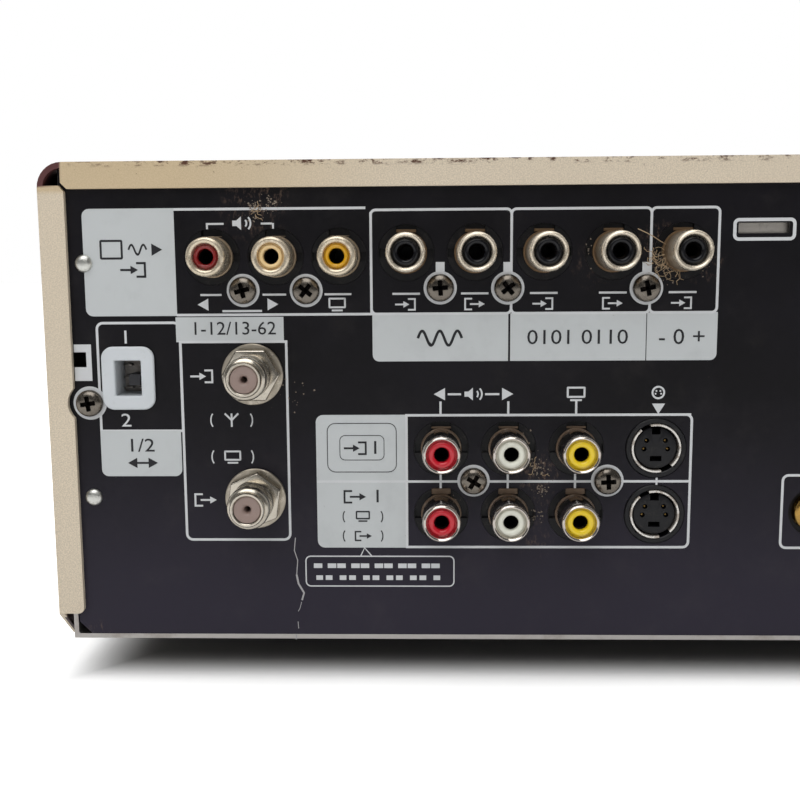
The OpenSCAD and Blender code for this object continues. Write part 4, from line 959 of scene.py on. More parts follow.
@dataclass(frozen=True)
class Studio:
    """White floor with a painted shadow under the machine, and backdrop with soft lamps; lengths in metres,
    power in watts.
    """

    floor_half: float = 6.0
    white: float = 0.9
    # shade, under and edge paint a shadow: the floor's colour falls to shade within these half sizes round
    # the machine, with edge as the span of its border
    shade: float = 0.16
    under: Point = (0.2, 0.165)
    edge: Point = (-0.004, 0.016)
    spread: Point = (0.0, 0.028)
    glow: float = 0.7
    fill: float = 0.46
    lamps: tuple[tuple[Place, float, float], ...] = (
        ((0.35, 0.95, 1.25), 1.2, 9.5),
        ((-0.35, -0.95, 1.25), 1.2, 8.5),
        ((0.0, 0.1, 1.7), 0.9, 4.0),
    )
    target: Place = (0.0, 0.05, 0.05)

    def build(self) -> None:
        """Makes the floor, the lamps and the world."""
        self.floor()
        for index, (place, size, power) in enumerate(self.lamps):
            self.lamp(f"softbox_{index + 1}", Vector(place), size, power)
        self.world()
        bpy.context.scene.view_settings.view_transform = "Standard"

    def floor(self) -> None:
        """A white floor: it keeps the lamps' shadow near the machine, darkens its own colour under it as a
        painted shadow, and reads white far from it.
        """
        bpy.ops.object.select_all(action="DESELECT")
        bpy.ops.mesh.primitive_plane_add(size=2 * self.floor_half)
        floor = bpy.context.object
        floor.name = "floor"
        white = bpy.data.materials.new("floor_white")
        graph = Graph(white)
        camera_ray = graph.tree.nodes.new("ShaderNodeLightPath").outputs["Is Camera Ray"]
        across, along = (graph.math("ABSOLUTE", graph.axis(letter)) for letter in "XY")
        beyond = graph.math("MAXIMUM", graph.math("SUBTRACT", across, self.under[0]),
                            graph.math("SUBTRACT", along, self.under[1]))
        glow = graph.ramp(beyond, *self.spread, 0.0, self.glow)
        # painted shadow: the floor's colour is shade under the machine and white beyond
        colour = graph.mix(graph.ramp(beyond, *self.edge), (self.shade,) * 3, (self.white,) * 3)
        graph.put(base_color=colour, roughness=0.7, specular_ior_level=0.1, emission_color=(1, 1, 1),
                  emission_strength=graph.times(camera_ray, glow))
        floor.data.materials.append(white)

    def lamp(self, name: str, place: Vector, size: float, power: float) -> None:
        """A square softbox that looks at the machine.

        Args:
            name: Its name.
            place: Its place.
            size: Length of its sides.
            power: Its power.
        """
        bpy.ops.object.light_add(type="AREA", location=place)
        lamp = bpy.context.object
        lamp.name = name
        lamp.rotation_euler = (Vector(self.target) - place).to_track_quat("-Z", "Y").to_euler()
        lamp.data.size = size
        lamp.data.energy = power

    def world(self) -> None:
        """White to the camera and through glass, graded from backdrop to room in reflections."""
        world = bpy.context.scene.world = bpy.data.worlds.new("studio")
        graph = Graph(world, "Background", "Generated")
        rays = graph.tree.nodes.new("ShaderNodeLightPath").outputs
        backdrop = graph.ramp(graph.axis("Y"), -0.5, 0.35, 1.0, 0.1)
        seen = graph.math("MAXIMUM", rays["Is Camera Ray"], rays["Is Transmission Ray"])
        reflected = graph.mix(rays["Is Glossy Ray"], self.fill, backdrop, number=True)
        graph.put(color=(1, 1, 1), strength=graph.mix(seen, reflected, 1.0, number=True))


# ---------------- placing the pieces


def settle(piece: Piece, finish: Finish, slot: str | None = None, body: str = "chassis",
           nodes: Sequence[str] = ()) -> Piece:
    """Dresses a finished piece and hangs it on its body.

    Args:
        piece: The piece, with its place in its mesh.
        finish: Its finish.
        slot: The record's material slot, if it stands for one; not used.
        body: The CAD body that it moves with.
        nodes: The CAD nodes that it stands for.

    Returns:
        The piece.
    """
    piece.data.materials.clear()
    piece.data.materials.append(finish.material())
    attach(piece, body)
    if nodes:
        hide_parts(*nodes)
    LOG.info("%s: %d faces on %s", piece.name, len(piece.data.polygons), body)
    return piece


@dataclass
class Shop:
    """What every sub-assembly needs: the casing's places and the frame's nodes."""

    casing: Casing
    nodes: dict[str, Piece]

    def soften(self, node: str, finish: Finish, slot: str, body: str = "chassis",
               edge: float = 0.2, segments: int = 2) -> Piece:
        """Replaces a CAD node by a copy with rounded edges of the given width in mm; 0 keeps them."""
        piece = Bench.softened(self.nodes[node], f"{node}_skin", edge, segments)
        return settle(piece, finish, slot, body, [node])

    def rear_at(self, right: float, up: float, out: float = 0.0) -> Vector:
        """A place on the rear panel, from the point straight in front of the lens, in mm."""
        return self.casing.rear(right + LENS_U, up + LENS_V, out)

    def laid(self, piece: Piece, at: Vector, side: Side = Side.REAR) -> Piece:
        """Stands a piece modelled flat in X and Y, its face towards Z, up against a side.

        Args:
            piece: The flat piece.
            at: Where its origin goes.
            side: The side that it looks out of.

        Returns:
            The piece, with its place in its mesh.
        """
        right = Vector((-side.value, 0, 0))
        out = Vector((0, side.value, 0))
        turn = Matrix((right, Vector((0, 0, 1)), out)).transposed().to_4x4()
        Bench.only(piece)
        piece.matrix_world = Matrix.Translation(at) @ turn
        return Bench.apply_place(piece)


# ---------------- enclosure


@dataclass
class Screws:
    """Pan-head screws with a cross recess, and rivets; sizes in mm."""

    head_r: float = 2.95
    head_h: float = 1.9

    def head(self, name: str, radius: float, height: float) -> Piece:
        """A screw's head at the origin, facing +Y.

        Args:
            name: Name of the piece.
            radius: Radius of the head.
            height: Height of the head.

        Returns:
            The head with its recess.
        """
        dome = [(0.0, -0.6), (radius * 0.5, -0.6), (radius * 0.5, 0.0), (radius * 0.95, 0.0),
                (radius, 0.12 * height)]
        dome += [(radius * cos(radians(a)) ** 0.55,
                  height * (0.3 + 0.7 * sin(radians(a)))) for a in range(5, 86, 8)]
        piece = Bench.turned(name, dome + [(0.0, height)], steps=56)
        return Bench.cut(piece, *self.recess(radius, height))

    def recess(self, radius: float, height: float) -> list[Piece]:
        """Two wedges that taper inwards, crossed.

        Args:
            radius: Radius of the head.
            height: Height of the head.

        Returns:
            The wedges.
        """
        wedges = []
        for turn in (0, 90):
            wedge = Bench.block("wedge", (-0.17 * radius, -height * 0.1, -0.56 * radius),
                                (0.17 * radius, height * 1.3, 0.56 * radius))
            Bench.edit(wedge)
            bpy.ops.mesh.select_all(action="DESELECT")
            mesh = bmesh.from_edit_mesh(wedge.data)
            for face in mesh.faces:
                face.select_set(face.normal.y < -0.9)
            bmesh.update_edit_mesh(wedge.data)
            bpy.ops.transform.resize(value=(0.6, 1, 0.4), center_override=(0, 0, 0))
            wedges.append(Bench.swung(Bench.close(), turn))
        return wedges

    @staticmethod
    def cross(radius: float, height: float) -> Piece:
        """Painted shade at the bottom of a recess, as a dark cross.

        Args:
            radius: Radius of the head.
            height: Height of the head.

        Returns:
            The cross.
        """
        return Bench.joined("cross", [
            Bench.block("arm", (-long * radius, -0.05 * height, -wide * radius),
                        (long * radius, 0.62 * height, wide * radius), 0.1, 1)
            for long, wide in ((0.5, 0.15), (0.15, 0.5))])

    @staticmethod
    def rivet(name: str) -> Piece:
        """A dome rivet at the origin, facing +Y."""
        return Bench.turned(name, [(0, -0.5), (1.3, -0.5), (1.3, 0), (1.88, 0), (1.9, 0.12), (1.8, 0.42),
                                   (1.5, 0.74), (1.0, 0.96), (0.5, 1.04), (0, 1.05)], steps=40)


@dataclass
class Enclosure:
    """Cover, chassis, rear panel, feet, screws and rivets; sizes in mm."""

    shop: Shop
    foot_r: float = 20.0
    foot_h: float = 10.0
    foot_x: float = 163.0
    foot_y: Point = (-142.0, 128.0)
    block_screws: tuple[Point, ...] = ((43.37, 78.2), (57.0, 78.1), (85.85, 78.5), (100.3, 78.4),
                                       (129.8, 78.2), (93.1, 36.3), (122.35, 36.3), (223.1, 36.3),
                                       (252.35, 36.3))
    screw_turns: tuple[float, ...] = (14, 52, 4, 38, 12, 58, 3, 24, 70)
    edge_screw: Point = (8.9, 53.8)
    rivets: tuple[Point, ...] = ((8.95, 84.2), (8.8, 32.7))
    body_w: float = 430.0
    slot: Point = (154.25, 90.65)
    smears: tuple[Radii, ...] = (
        (-37.5, 12.5, 9.0, 0.55), (-33.0, 15.5, 5.0, 0.5), (24.5, -45.0, 6.5, 0.7), (22.5, -52.0, 6.0, 0.5),
        (49.5, 4.0, 6.5, 0.8), (58.5, 0.5, 5.5, 0.7), (34.6, 0.0, 6.0, 0.3), (5.5, -52.0, 5.0, 0.35),
        (24.0, -60.5, 5.0, 0.35), (52.0, -52.0, 5.0, 0.3), (-75.0, -82.0, 4.0, 0.5))

    def build(self) -> None:
        """Builds and dresses the whole enclosure."""
        casing = self.shop.casing
        smears = tuple((self.shop.rear_at(x, z), r, s) for x, z, r, s in self.smears)
        self.shop.soften("top_cover", CoverPaint("cover_paint", tone(219, 205, 183), 0.45, casing),
                         "cover_paint", edge=0.3)
        self.shop.soften("base_pan", Metal("chassis_steel", tone(196, 192, 188), 0.34, (0.1, 1, 1), 0.004,
                                           tone(112, 86, 66), 0.5, 0.05), "chassis_steel", edge=0.15)
        self.shop.soften("rear_panel", PanelPaint("panel_paint", tone(6, 4, 9), 0.4, smears),
                         "panel_paint", edge=0.12)
        lug = Bench.block("slot_lug", (-6.2, -3.1, -1.9), (6.2, -1.5, 1.7), 0.3)
        settle(Bench.stamped("slot_lug", lug, [casing.rear(*self.slot)]),
               Metal("slot_steel", tone(206, 200, 192), 0.4, (0.2, 1, 1), 0.004, stained=0.5),
               "chassis_steel")
        self.feet()
        self.screws()

    def feet(self) -> None:
        """Round feet with a ring of rubber and a hollow middle."""
        r, h = self.foot_r, self.foot_h
        outline = [(0, 1.5), (r - 6.6, 1.5), (r - 6.0, 1.2), (r - 5.8, 0.2), (r - 5.4, 0), (r - 1.4, 0),
                   (r - 0.5, 0.4), (r, 1.2), (r, h - 2.8), (r - 0.4, h - 1.6), (r - 2, h), (0, h)]
        master = Bench.turned("foot", outline, Turn.Z, steps=72)
        places = [Vector((x, y, 0)) * MM for x in (-self.foot_x, self.foot_x) for y in self.foot_y]
        feet = Bench.stamped("feet_skin", master, places)
        settle(feet, Plastic("foot_plastic", tone(30, 30, 32), 0.55, grain=0.03), "foot_plastic",
               nodes=["feet"])

    def screws(self) -> None:
        """Bronze panel screws, black case screws and white rivets."""
        kit, casing = Screws(), self.shop.casing
        places = [casing.rear(u, v) for u, v in self.block_screws]
        places += [casing.rear(u, v) for u, v in (self.edge_screw, (self.body_w - self.edge_screw[0],
                                                                    self.edge_screw[1]))]
        master = kit.head("panel_screw", kit.head_r, kit.head_h)
        heads = Bench.stamped("panel_screws_skin", master, places, self.screw_turns + (8.0, 8.0))
        bronze = Metal("bronze_screw", tone(128, 121, 112), 0.24, stain=tone(52, 44, 38),
                       stained=0.5, stain_size=0.9)
        settle(heads, bronze, "bronze_screw", nodes=["panel_screws"])
        # painted shade: dark crosses sunk in the recesses darken their bottoms
        crosses = Bench.stamped("panel_screw_crosses", kit.cross(kit.head_r, kit.head_h), places,
                                self.screw_turns + (8.0, 8.0))
        settle(crosses, Metal("cross_dirt", tone(20, 18, 18), 0.6), "bronze_screw", nodes=["panel_screws"])
        domes = [casing.rear(u if left else self.body_w - u, v)
                 for left in (True, False) for u, v in self.rivets]
        settle(Bench.stamped("panel_rivets_skin", kit.rivet("rivet"), domes),
               Metal("white_rivet", tone(226, 226, 220), 0.36, stained=0.4, stain_size=1.2), "white_rivet",
               nodes=["panel_rivets"])
        self.shop.soften("case_screws", Metal("black_screw", tone(52, 50, 52), 0.35, stained=0.3),
                         "black_screw", edge=0.15)


# ---------------- print


def bow(radius: float, spread: int, step: int) -> tuple[Point, ...]:
    """Points of an arc that opens to the left, through the angles -spread to spread."""
    return tuple(polar(radius, a) for a in range(-spread, spread + 1, step))


class Sign(Enum):
    """Signs as shapes round the origin; a line or a frame ends with its width."""

    WAY_IN = (("line", ((-1, 0), (-0.1, 0)), 0.16), ("arrow", (0.05, 0.62, True)),
              ("line", ((0.2, 0.5), (0.85, 0.5)), 0.16), ("line", ((0.85, 0.58), (0.85, -0.58)), 0.16),
              ("line", ((0.2, -0.5), (0.85, -0.5)), 0.16))
    WAY_OUT = (("line", ((-0.85, 0.5), (-0.2, 0.5)), 0.16), ("line", ((-0.85, 0.58), (-0.85, -0.58)), 0.16),
               ("line", ((-0.85, -0.5), (-0.2, -0.5)), 0.16), ("line", ((-0.4, 0), (0.5, 0)), 0.16),
               ("arrow", (0.7, 0.62, True)))
    SCREEN = (("frame", ((-0.72, -0.32), (0.72, 0.55)), 0.15),
              ("line", ((-0.45, -0.5), (0.45, -0.5)), 0.15))
    SOUND = (("fill", ((-0.7, -0.2), (-0.4, -0.2), (-0.05, -0.5), (-0.05, 0.5), (-0.4, 0.2), (-0.7, 0.2))),
             ("line", bow(0.35, 42, 12), 0.13), ("line", bow(0.65, 42, 12), 0.13))
    AERIAL = (("line", ((0, -0.55), (0, 0.55)), 0.15), ("line", ((0, 0), (-0.55, 0.55)), 0.15),
              ("line", ((0, 0), (0.55, 0.55)), 0.15))
    REWIND = (("arrow", (-1.3, 2.8, False)), ("arrow", (1.3, 2.8, False)))
    FORWARD = (("arrow", (-1.3, 2.8, True)), ("arrow", (1.3, 2.8, True)))
    PLAY = (("arrow", (0, 2.8, True)),)
    STOP = (("box", ((-1.3, -1.3), (1.3, 1.3))),)
    PAUSE = (("box", ((-1.3, -1.4), (-0.45, 1.4))), ("box", ((0.45, -1.4), (1.3, 1.4))))
    RECORD = (("ring", (1.45, 0)),)
    EJECT = (("fill", ((-1.3, -0.2), (1.3, -0.2), (0, 1.2))), ("box", ((-1.3, -1.1), (1.3, -0.6))))
    POWER = (("ring", (1.3, 0.95)), ("box", ((-0.22, 0.2), (0.22, 1.7))))


@dataclass
class Sheet:
    """Flat printed shapes of one ink on one side, drawn to the right and up; sizes in mm."""

    name: str
    layer: int = 0
    thick: float = 0.03
    sunk: float = 0.02
    rise: float = 0.0011
    cycle: int = 23
    capital: float = 0.72
    shapes: list[Piece] = field(default_factory=list)

    @property
    def span(self) -> Point:
        """Lowest and highest face of the next shape; each lies a little higher than the last."""
        step = self.rise * (len(self.shapes) % self.cycle)
        return self.sunk * (self.layer - 1), self.thick * (1 + 1.2 * self.layer) + step

    def fill(self, outline: Sequence[Point]) -> None:
        """Adds a filled outline."""
        self.shapes.append(Bench.plate("ink", outline, *self.span, Turn.Z))

    def box(self, left: float, low: float, right: float, high: float, radii: Radii = (0,) * 4) -> None:
        """Adds a filled box with its own radius at each corner."""
        self.fill(corners(left, low, right, high, radii))

    def frame(self, left: float, low: float, right: float, high: float, width: float = 0.55,
              radii: Radii = (1.3, 1.3, 1.3, 1.3)) -> None:
        """Adds an open frame.

        Args:
            left: Left edge of its outside.
            low: Lower edge.
            right: Right edge.
            high: Upper edge.
            width: Width of its line.
            radii: Radii of its corners.
        """
        outline = corners(left, low, right, high, radii)
        Bench.trace([Vector((x, y, 0)) * MM + Vector((0, 0, self.span[0] * MM)) for x, y in outline])
        bpy.ops.mesh.select_all(action="SELECT")
        bpy.ops.mesh.edge_face_add()
        bpy.ops.mesh.inset(thickness=width * MM, depth=0)
        bpy.ops.mesh.delete(type="FACE")
        bpy.ops.mesh.select_all(action="SELECT")
        rise = (self.span[1] - self.span[0]) * MM
        bpy.ops.mesh.extrude_region_move(TRANSFORM_OT_translate={"value": (0, 0, rise)})
        Bench.outwards()
        self.shapes.append(Bench.close("ink"))

    def stroke(self, points: Sequence[Point], width: float = 0.5) -> None:
        """Adds a line of even width.

        Args:
            points: The chain of points that it follows.
            width: Its width.
        """
        left, right = [], []
        for index, here in enumerate(points):
            before = Vector(points[max(index - 1, 0)])
            after = Vector(points[min(index + 1, len(points) - 1)])
            side = (after - before).normalized().orthogonal() * width / 2
            left.append(tuple(Vector(here) + side))
            right.append(tuple(Vector(here) - side))
        self.fill(left + right[::-1])

    def ring(self, x: float, y: float, outer: float, inner: float, steps: int = 48) -> None:
        """Adds a ring, or a disc.

        Args:
            x: Its middle, to the right.
            y: Its middle, upwards.
            outer: Outer radius.
            inner: Inner radius, 0 for a disc.
            steps: Steps round it.
        """
        low, high = self.span
        outline = [(inner, low), (outer, low), (outer, high), (inner, high)]
        outline += [outline[0]] if inner else []
        self.shapes.append(Bench.turned("ink", outline, Turn.Z, steps, (x * MM, y * MM, 0)))

    def number(self, text: str, x: float, y: float, height: float, stretch: float = 1.0) -> None:
        """Adds plain numbers centred on a place.

        Args:
            text: The numbers.
            x: Middle, to the right.
            y: Middle, upwards.
            height: Height of a digit.
            stretch: Width factor.
        """
        low, high = self.span
        bpy.ops.object.select_all(action="DESELECT")
        bpy.ops.object.text_add()
        letters = bpy.context.object
        letters.data.body = text
        letters.data.size = height / self.capital * MM
        letters.data.align_x, letters.data.align_y = "CENTER", "CENTER"
        letters.data.extrude = (high - low) / 2 * MM
        letters.data.resolution_u = 3
        bpy.ops.object.convert(target="MESH")
        piece = bpy.context.object
        Bench.edit(piece)
        bpy.ops.mesh.remove_doubles(threshold=1e-6)
        Bench.close("ink")
        piece.scale = (stretch, 1, 1)
        piece.location = (x * MM, y * MM, (low + high) / 2 * MM)
        Bench.only(piece)
        self.shapes.append(Bench.apply_place(piece))

    def arrow(self, x: float, y: float, size: float, right: bool = True) -> None:
        """Adds a solid triangle that points right or left."""
        way = size * (0.45 if right else -0.45)
        self.fill([(x - way, y - size / 2), (x + way, y), (x - way, y + size / 2)])

    def mark(self, sign: Sign, x: float, y: float, size: float = 1.0) -> None:
        """Adds a sign round a place.

        Args:
            sign: The sign.
            x: Its middle, to the right.
            y: Its middle, upwards.
            size: Factor on its shapes.
        """
        for shape, numbers, *width in sign.value:
            if shape == "arrow":
                self.arrow(x + numbers[0] * size, y, numbers[1] * size, numbers[2])
            elif shape == "ring":
                self.ring(x, y, *numbers)
            else:
                points = [(x + a * size, y + b * size) for a, b in numbers]
                if shape == "fill":
                    self.fill(points)
                elif shape == "line":
                    self.stroke(points, width[0] * size)
                elif shape == "frame":
                    self.frame(*points[0], *points[1], width[0] * size, (0.25,) * 4)
                else:
                    self.box(*points[0], *points[1])

    def bracketed(self, x: float, y: float, half: float, size: float) -> None:
        """Adds round brackets on both sides of a sign.

        Args:
            x: The sign's middle, to the right.
            y: Its middle, upwards.
            half: Distance of the brackets from it.
            size: Height of the brackets, about.
        """
        for way in (-1, 1):
            self.stroke([(x + way * (half - size * (0.55 - 0.55 * cos(radians(a)))),
                          y + size * 0.85 * sin(radians(a))) for a in range(-50, 51, 20)],
                        size * 0.13)

    def wave(self, x: float, y: float, size: float, turns: float = 1.5) -> None:
        """Adds a sine wave.

        Args:
            x: Its middle, to the right.
            y: Its middle, upwards.
            size: Length of a full turn.
            turns: Number of turns.
        """
        steps = int(18 * turns)
        self.stroke([(x + size * (i / steps - 0.5) * turns, y + size * 0.42 *
                      sin(2 * pi * turns * i / steps)) for i in range(steps + 1)], size * 0.15)

    def lay(self, shop: Shop, at: Vector, finish: Finish, side: Side = Side.REAR,
            body: str = "chassis") -> None:
        """Stands the shapes, joined, on a side and dresses them."""
        settle(shop.laid(Bench.joined(self.name, self.shapes), at, side), finish, body=body)


@dataclass
class RearPrint:
    """Frames, labels and signs on the rear, seen from behind; places in mm from the lens's foot."""

    shop: Shop
    line: float = 0.55
    block_step: float = 130.0
    screw_ring: Point = (3.56, 2.9)
    sheets: tuple[Sheet, Sheet, Sheet] = field(default_factory=lambda: (
        Sheet("rear_labels"), Sheet("rear_lines"), Sheet("rear_signs", layer=1)))

    def build(self) -> None:
        """Draws the three inks and lays them on the panel."""
        self.decoder()
        self.radio()
        self.aerials()
        self.channel()
        for number, shift in ((1, 0.0), (2, self.block_step)):
            self.video(shift, number)
        self.right_side()
        self.screw_rings()
        pale, lines, dark = self.sheets
        origin = self.shop.rear_at(0, 0)
        pale.lay(self.shop, origin, Ink("label_ink", tone(196, 200, 201), 0.5, 0.35))
        lines.lay(self.shop, origin, Ink("line_ink", tone(208, 210, 212), 0.5, 0.2))
        dark.lay(self.shop, origin, Ink("sign_ink", tone(34, 34, 38), 0.5, 0.1, tone(90, 90, 90)))

    def decoder(self) -> None:
        """Block of the decoder sockets."""
        pale, lines, dark = self.sheets
        pale.box(-74.2, -10.2, -54.3, 12.8, (0, 1.6, 1.6, 0))
        lines.box(-54.4, 12.8 - self.line, -13.2, 12.8)
        lines.box(-54.4, -10.3, -12.0, -10.3 + self.line)
        dark.frame(-70.6, 2.0, -65.6, 6.2, 0.45, (0.4, 0.4, 0.4, 0.4))
        dark.wave(-62.4, 4.05, 2.6, 1.5)
        dark.arrow(-58.2, 4.05, 2.6)
        dark.mark(Sign.WAY_IN, -63.4, -0.25, 2.9)
        for x, wide in ((-46.8, 2.3), (-33.05, 2.55), (-19.3, 2.9)):
            lines.box(x - wide, -5.95, x + wide, -5.5)
        lines.box(-44.4, -9.45, -35.8, -9.0)
        lines.arrow(-48.6, -7.8, 2.6, False)
        lines.arrow(-33.4, -7.8, 2.6)
        lines.mark(Sign.SCREEN, -19.5, -7.9, 2.6)
        for outer, inner in ((-47.2, -43.6), (-33.0, -35.6)):
            lines.stroke([(outer, 8.3), (outer, 9.5)], 0.42)
            lines.stroke([(outer - 0.2, 9.4), (inner, 9.4)], 0.42)
        lines.mark(Sign.SOUND, -39.7, 9.5, 2.9)

    def radio(self) -> None:
        """Block of the five black sockets."""
        pale, lines, dark = self.sheets
        lines.box(-12.37, -10.2, -11.82, 11.6)
        edges = (-12.37, 17.62, 47.14, 61.97)
        for left, right in zip(edges, edges[1:]):
            lines.frame(left, -10.3, right + (0 if right == edges[-1] else self.line), 12.34)
        for left, right, radii in ((-11.94, 17.32, (0, 0, 1.4, 0)), (17.76, 46.80, (0, 0, 0, 0)),
                                   (46.99, 61.97, (0, 0, 0, 1.4))):
            pale.box(left, -20.3, right, -10.0, radii)
        for x, out in ((-4.6, False), (10.1, True), (24.85, False), (39.55, True), (54.35, False)):
            lines.box(x - 2.95, -5.95, x + 2.95, -5.5)
            lines.mark(Sign.WAY_OUT if out else Sign.WAY_IN, x - 0.1, -8.0, 2.3)
        dark.wave(2.6, -15.3, 3.8, 2.5)
        dark.number("0101 0110", 32.2, -15.35, 3.2, 1.15)
        dark.number("- 0 +", 54.5, -15.4, 3.4, 1.1)

    def aerials(self) -> None:
        """Frame of the two aerial connectors."""
        pale, lines, dark = self.sheets
        pale.box(-54.7, -15.9, -31.2, -10.5)
        lines.frame(-54.1, -60.3, -30.45, -15.6, radii=(0, 0, 1.6, 1.6))
        dark.number("1-12/13-62", -42.1, -13.1, 2.9, 1.05)
        lines.mark(Sign.WAY_IN, -49.3, -23.4, 2.6)
        lines.mark(Sign.AERIAL, -43.1, -33.1, 2.7)
        lines.bracketed(-43.1, -33.1, 4.6, 2.2)
        lines.mark(Sign.SCREEN, -43.1, -41.3, 2.6)
        lines.bracketed(-43.1, -41.3, 4.6, 2.2)
        lines.mark(Sign.WAY_OUT, -49.5, -51.0, 2.6)

    def channel(self) -> None:
        """Frame and label of the channel switch, and the print round the cut-out beside it."""
        pale, lines, dark = self.sheets
        lines.frame(-72.3, -35.7, -53.6, -11.4, radii=(1.6, 1.6, 0, 0))
        pale.box(-72.3, -45.6, -54.4, -35.4, (0, 0, 1.5, 1.5))
        lines.number("1", -65.8, -14.9, 3.0, 1.2)
        lines.number("2", -66.4, -33.2, 3.0, 1.2)
        dark.number("1/2", -63.4, -38.8, 3.0, 1.2)
        dark.arrow(-65.4, -42.6, 2.3, False)
        dark.arrow(-60.8, -42.6, 2.3)
        dark.stroke([(-64.6, -42.6), (-61.6, -42.6)], 0.42)
        for left, low, right, high in ((-77.3, -24.3, -73.5, -21.3), (-77.3, -18.0, -73.5, -16.3),
                                       (-74.65, -21.4, -73.5, -17.9)):
            lines.box(left, low, right, high)

    def video(self, shift: float, number: int) -> None:
        """An audio and video block.

        Args:
            shift: Distance from the first block.
            number: Number printed on it.
        """
        pale, lines, dark = self.sheets
        s = shift
        pale.box(-24.6 + s, -46.6, -4.85 + s, -32.0, (0, 1.6, 0, 0))
        pale.box(-24.6 + s, -61.85, -4.85 + s, -47.15, (0, 0, 1.6, 0))
        lines.box(-4.9 + s, -32.4, 57.0 + s, -31.85)
        lines.box(-24.6 + s, -47.14, 57.2 + s, -46.6)
        lines.frame(-5.0 + s, -61.98, 57.45 + s, -31.85, radii=(1.5, 0, 0, 1.5))
        dark.frame(-22.2 + s, -44.8, -6.9 + s, -33.8, 0.16, (1.8, 1.8, 1.8, 1.8))
        dark.frame(-19.45 + s, -42.1, -9.6 + s, -36.5, 0.14, (1.2, 1.2, 1.2, 1.2))
        dark.mark(Sign.WAY_IN, -15.9 + s, -39.4, 2.6)
        dark.number(str(number), -11.6 + s, -39.4, 3.0, 1.2)
        dark.mark(Sign.WAY_OUT, -16.3 + s, -50.3, 2.6)
        dark.number(str(number), -11.2 + s, -50.3, 3.0, 1.2)
        dark.mark(Sign.SCREEN, -14.5 + s, -54.7, 2.2)
        dark.bracketed(-14.5 + s, -54.8, 4.4, 1.9)
        dark.mark(Sign.WAY_OUT, -14.5 + s, -59.2, 2.0)
        dark.bracketed(-14.5 + s, -59.2, 4.4, 1.9)
        for x in (2.73, 17.46, 32.17):
            lines.box(x - 0.24 + s, -48.4, x + 0.24 + s, -45.2)
            lines.box(x - 0.24 + s, -32.4, x + 0.24 + s, -29.1)
        lines.box(49.7 + s, -48.4, 50.15 + s, -45.2)
        lines.arrow(2.5 + s, -27.5, 2.7, False)
        lines.arrow(17.3 + s, -27.5, 2.7)
        for left, right in ((4.3, 7.2), (12.4, 15.5)):
            lines.box(left + s, -27.75, right + s, -27.3)
        lines.mark(Sign.SOUND, 9.9 + s, -27.5, 2.8)
        lines.mark(Sign.SCREEN, 32.1 + s, -27.5, 2.8)
        lines.ring(49.8 + s, -27.3, 1.45, 1.05)
        for x, z in ((-0.42, 0.35), (0.42, 0.35), (-0.6, -0.25), (0.6, -0.25)):
            lines.ring(49.8 + x + s, -27.3 + z, 0.2, 0, 12)
        lines.fill([(48.5 + s, -29.7), (49.9 + s, -32.0), (51.3 + s, -29.7)])
        lines.frame(-27.5 + s, -70.85, 5.8 + s, -63.7, 0.28, (1.2, 1.2, 1.2, 1.2))
        lines.stroke([(-15.1 + s, -63.8), (-14.2 + s, -61.9), (-12.6 + s, -63.8)], 0.28)
        for row, (z, dashes) in enumerate(((-66.0, 11), (-68.75, 11))):
            for i in range(dashes):
                left = -25.6 + s + 2.62 * i + 0.5 * ((i + row) % 2)
                lines.box(left, z - 0.55, left + 1.9 - 0.4 * ((i * 3 + row) % 3), z + 0.5)

    def right_side(self) -> None:
        """Control socket, slot, dish connectors, mains inlet and rating plate."""
        pale, lines, dark = self.sheets
        lines.frame(77.0, -62.1, 91.4, -45.3, radii=(1.5, 1.5, 1.5, 1.5))
        lines.number("3", 84.2, -48.0, 2.6, 1.2)
        lines.frame(64.57, 5.0, 77.76, 9.75, 0.7, (1.2, 1.2, 1.2, 1.2))
        lines.frame(91.4, -10.3, 134.3, 12.34)
        pale.box(91.4, -20.3, 134.3, -10.0, (0, 0, 1.4, 1.4))
        dark.number("1032-2071", 112.8, -15.3, 3.2, 1.15)
        lines.mark(Sign.WAY_IN, 101.8, 9.6, 2.3)
        lines.mark(Sign.WAY_OUT, 123.8, 9.6, 2.3)
        lines.number("100", 303.0, -41.2, 3.0, 1.2)
        lines.wave(310.6, -41.2, 2.6, 1.0)
        lines.number("50/60", 319.2, -41.2, 3.0, 1.1)
        pale.box(158.0, -22.0, 212.0, 2.0, (1.0, 1.0, 1.0, 1.0))
        dark.frame(159.6, -20.4, 210.4, 0.4, 0.3, (0.5, 0.5, 0.5, 0.5))
        for row in range(5):
            z = -3.2 - 3.6 * row
            dark.stroke([(162.0, z), (180.0 + 7 * ((row * 2) % 3), z)], 0.55)
            dark.number(str(30 + 17 * row), 200.0, z, 2.0, 1.2)

    def screw_rings(self) -> None:
        """Pale rings round the panel's screws, some with a stem."""
        lines = self.sheets[1]
        outer, inner = self.screw_ring
        spots = [(u - LENS_U, v - LENS_V) for u, v in Enclosure.block_screws]
        for x, z in spots:
            lines.ring(x, z, outer, inner)
        for x, z in spots[2:5]:
            lines.box(x - 0.95, z + 3.3, x + 0.95, z + 5.5)
        u, v = Enclosure.edge_screw
        lines.ring(u - LENS_U, v - LENS_V, 3.7, inner)


# ---------------- sockets


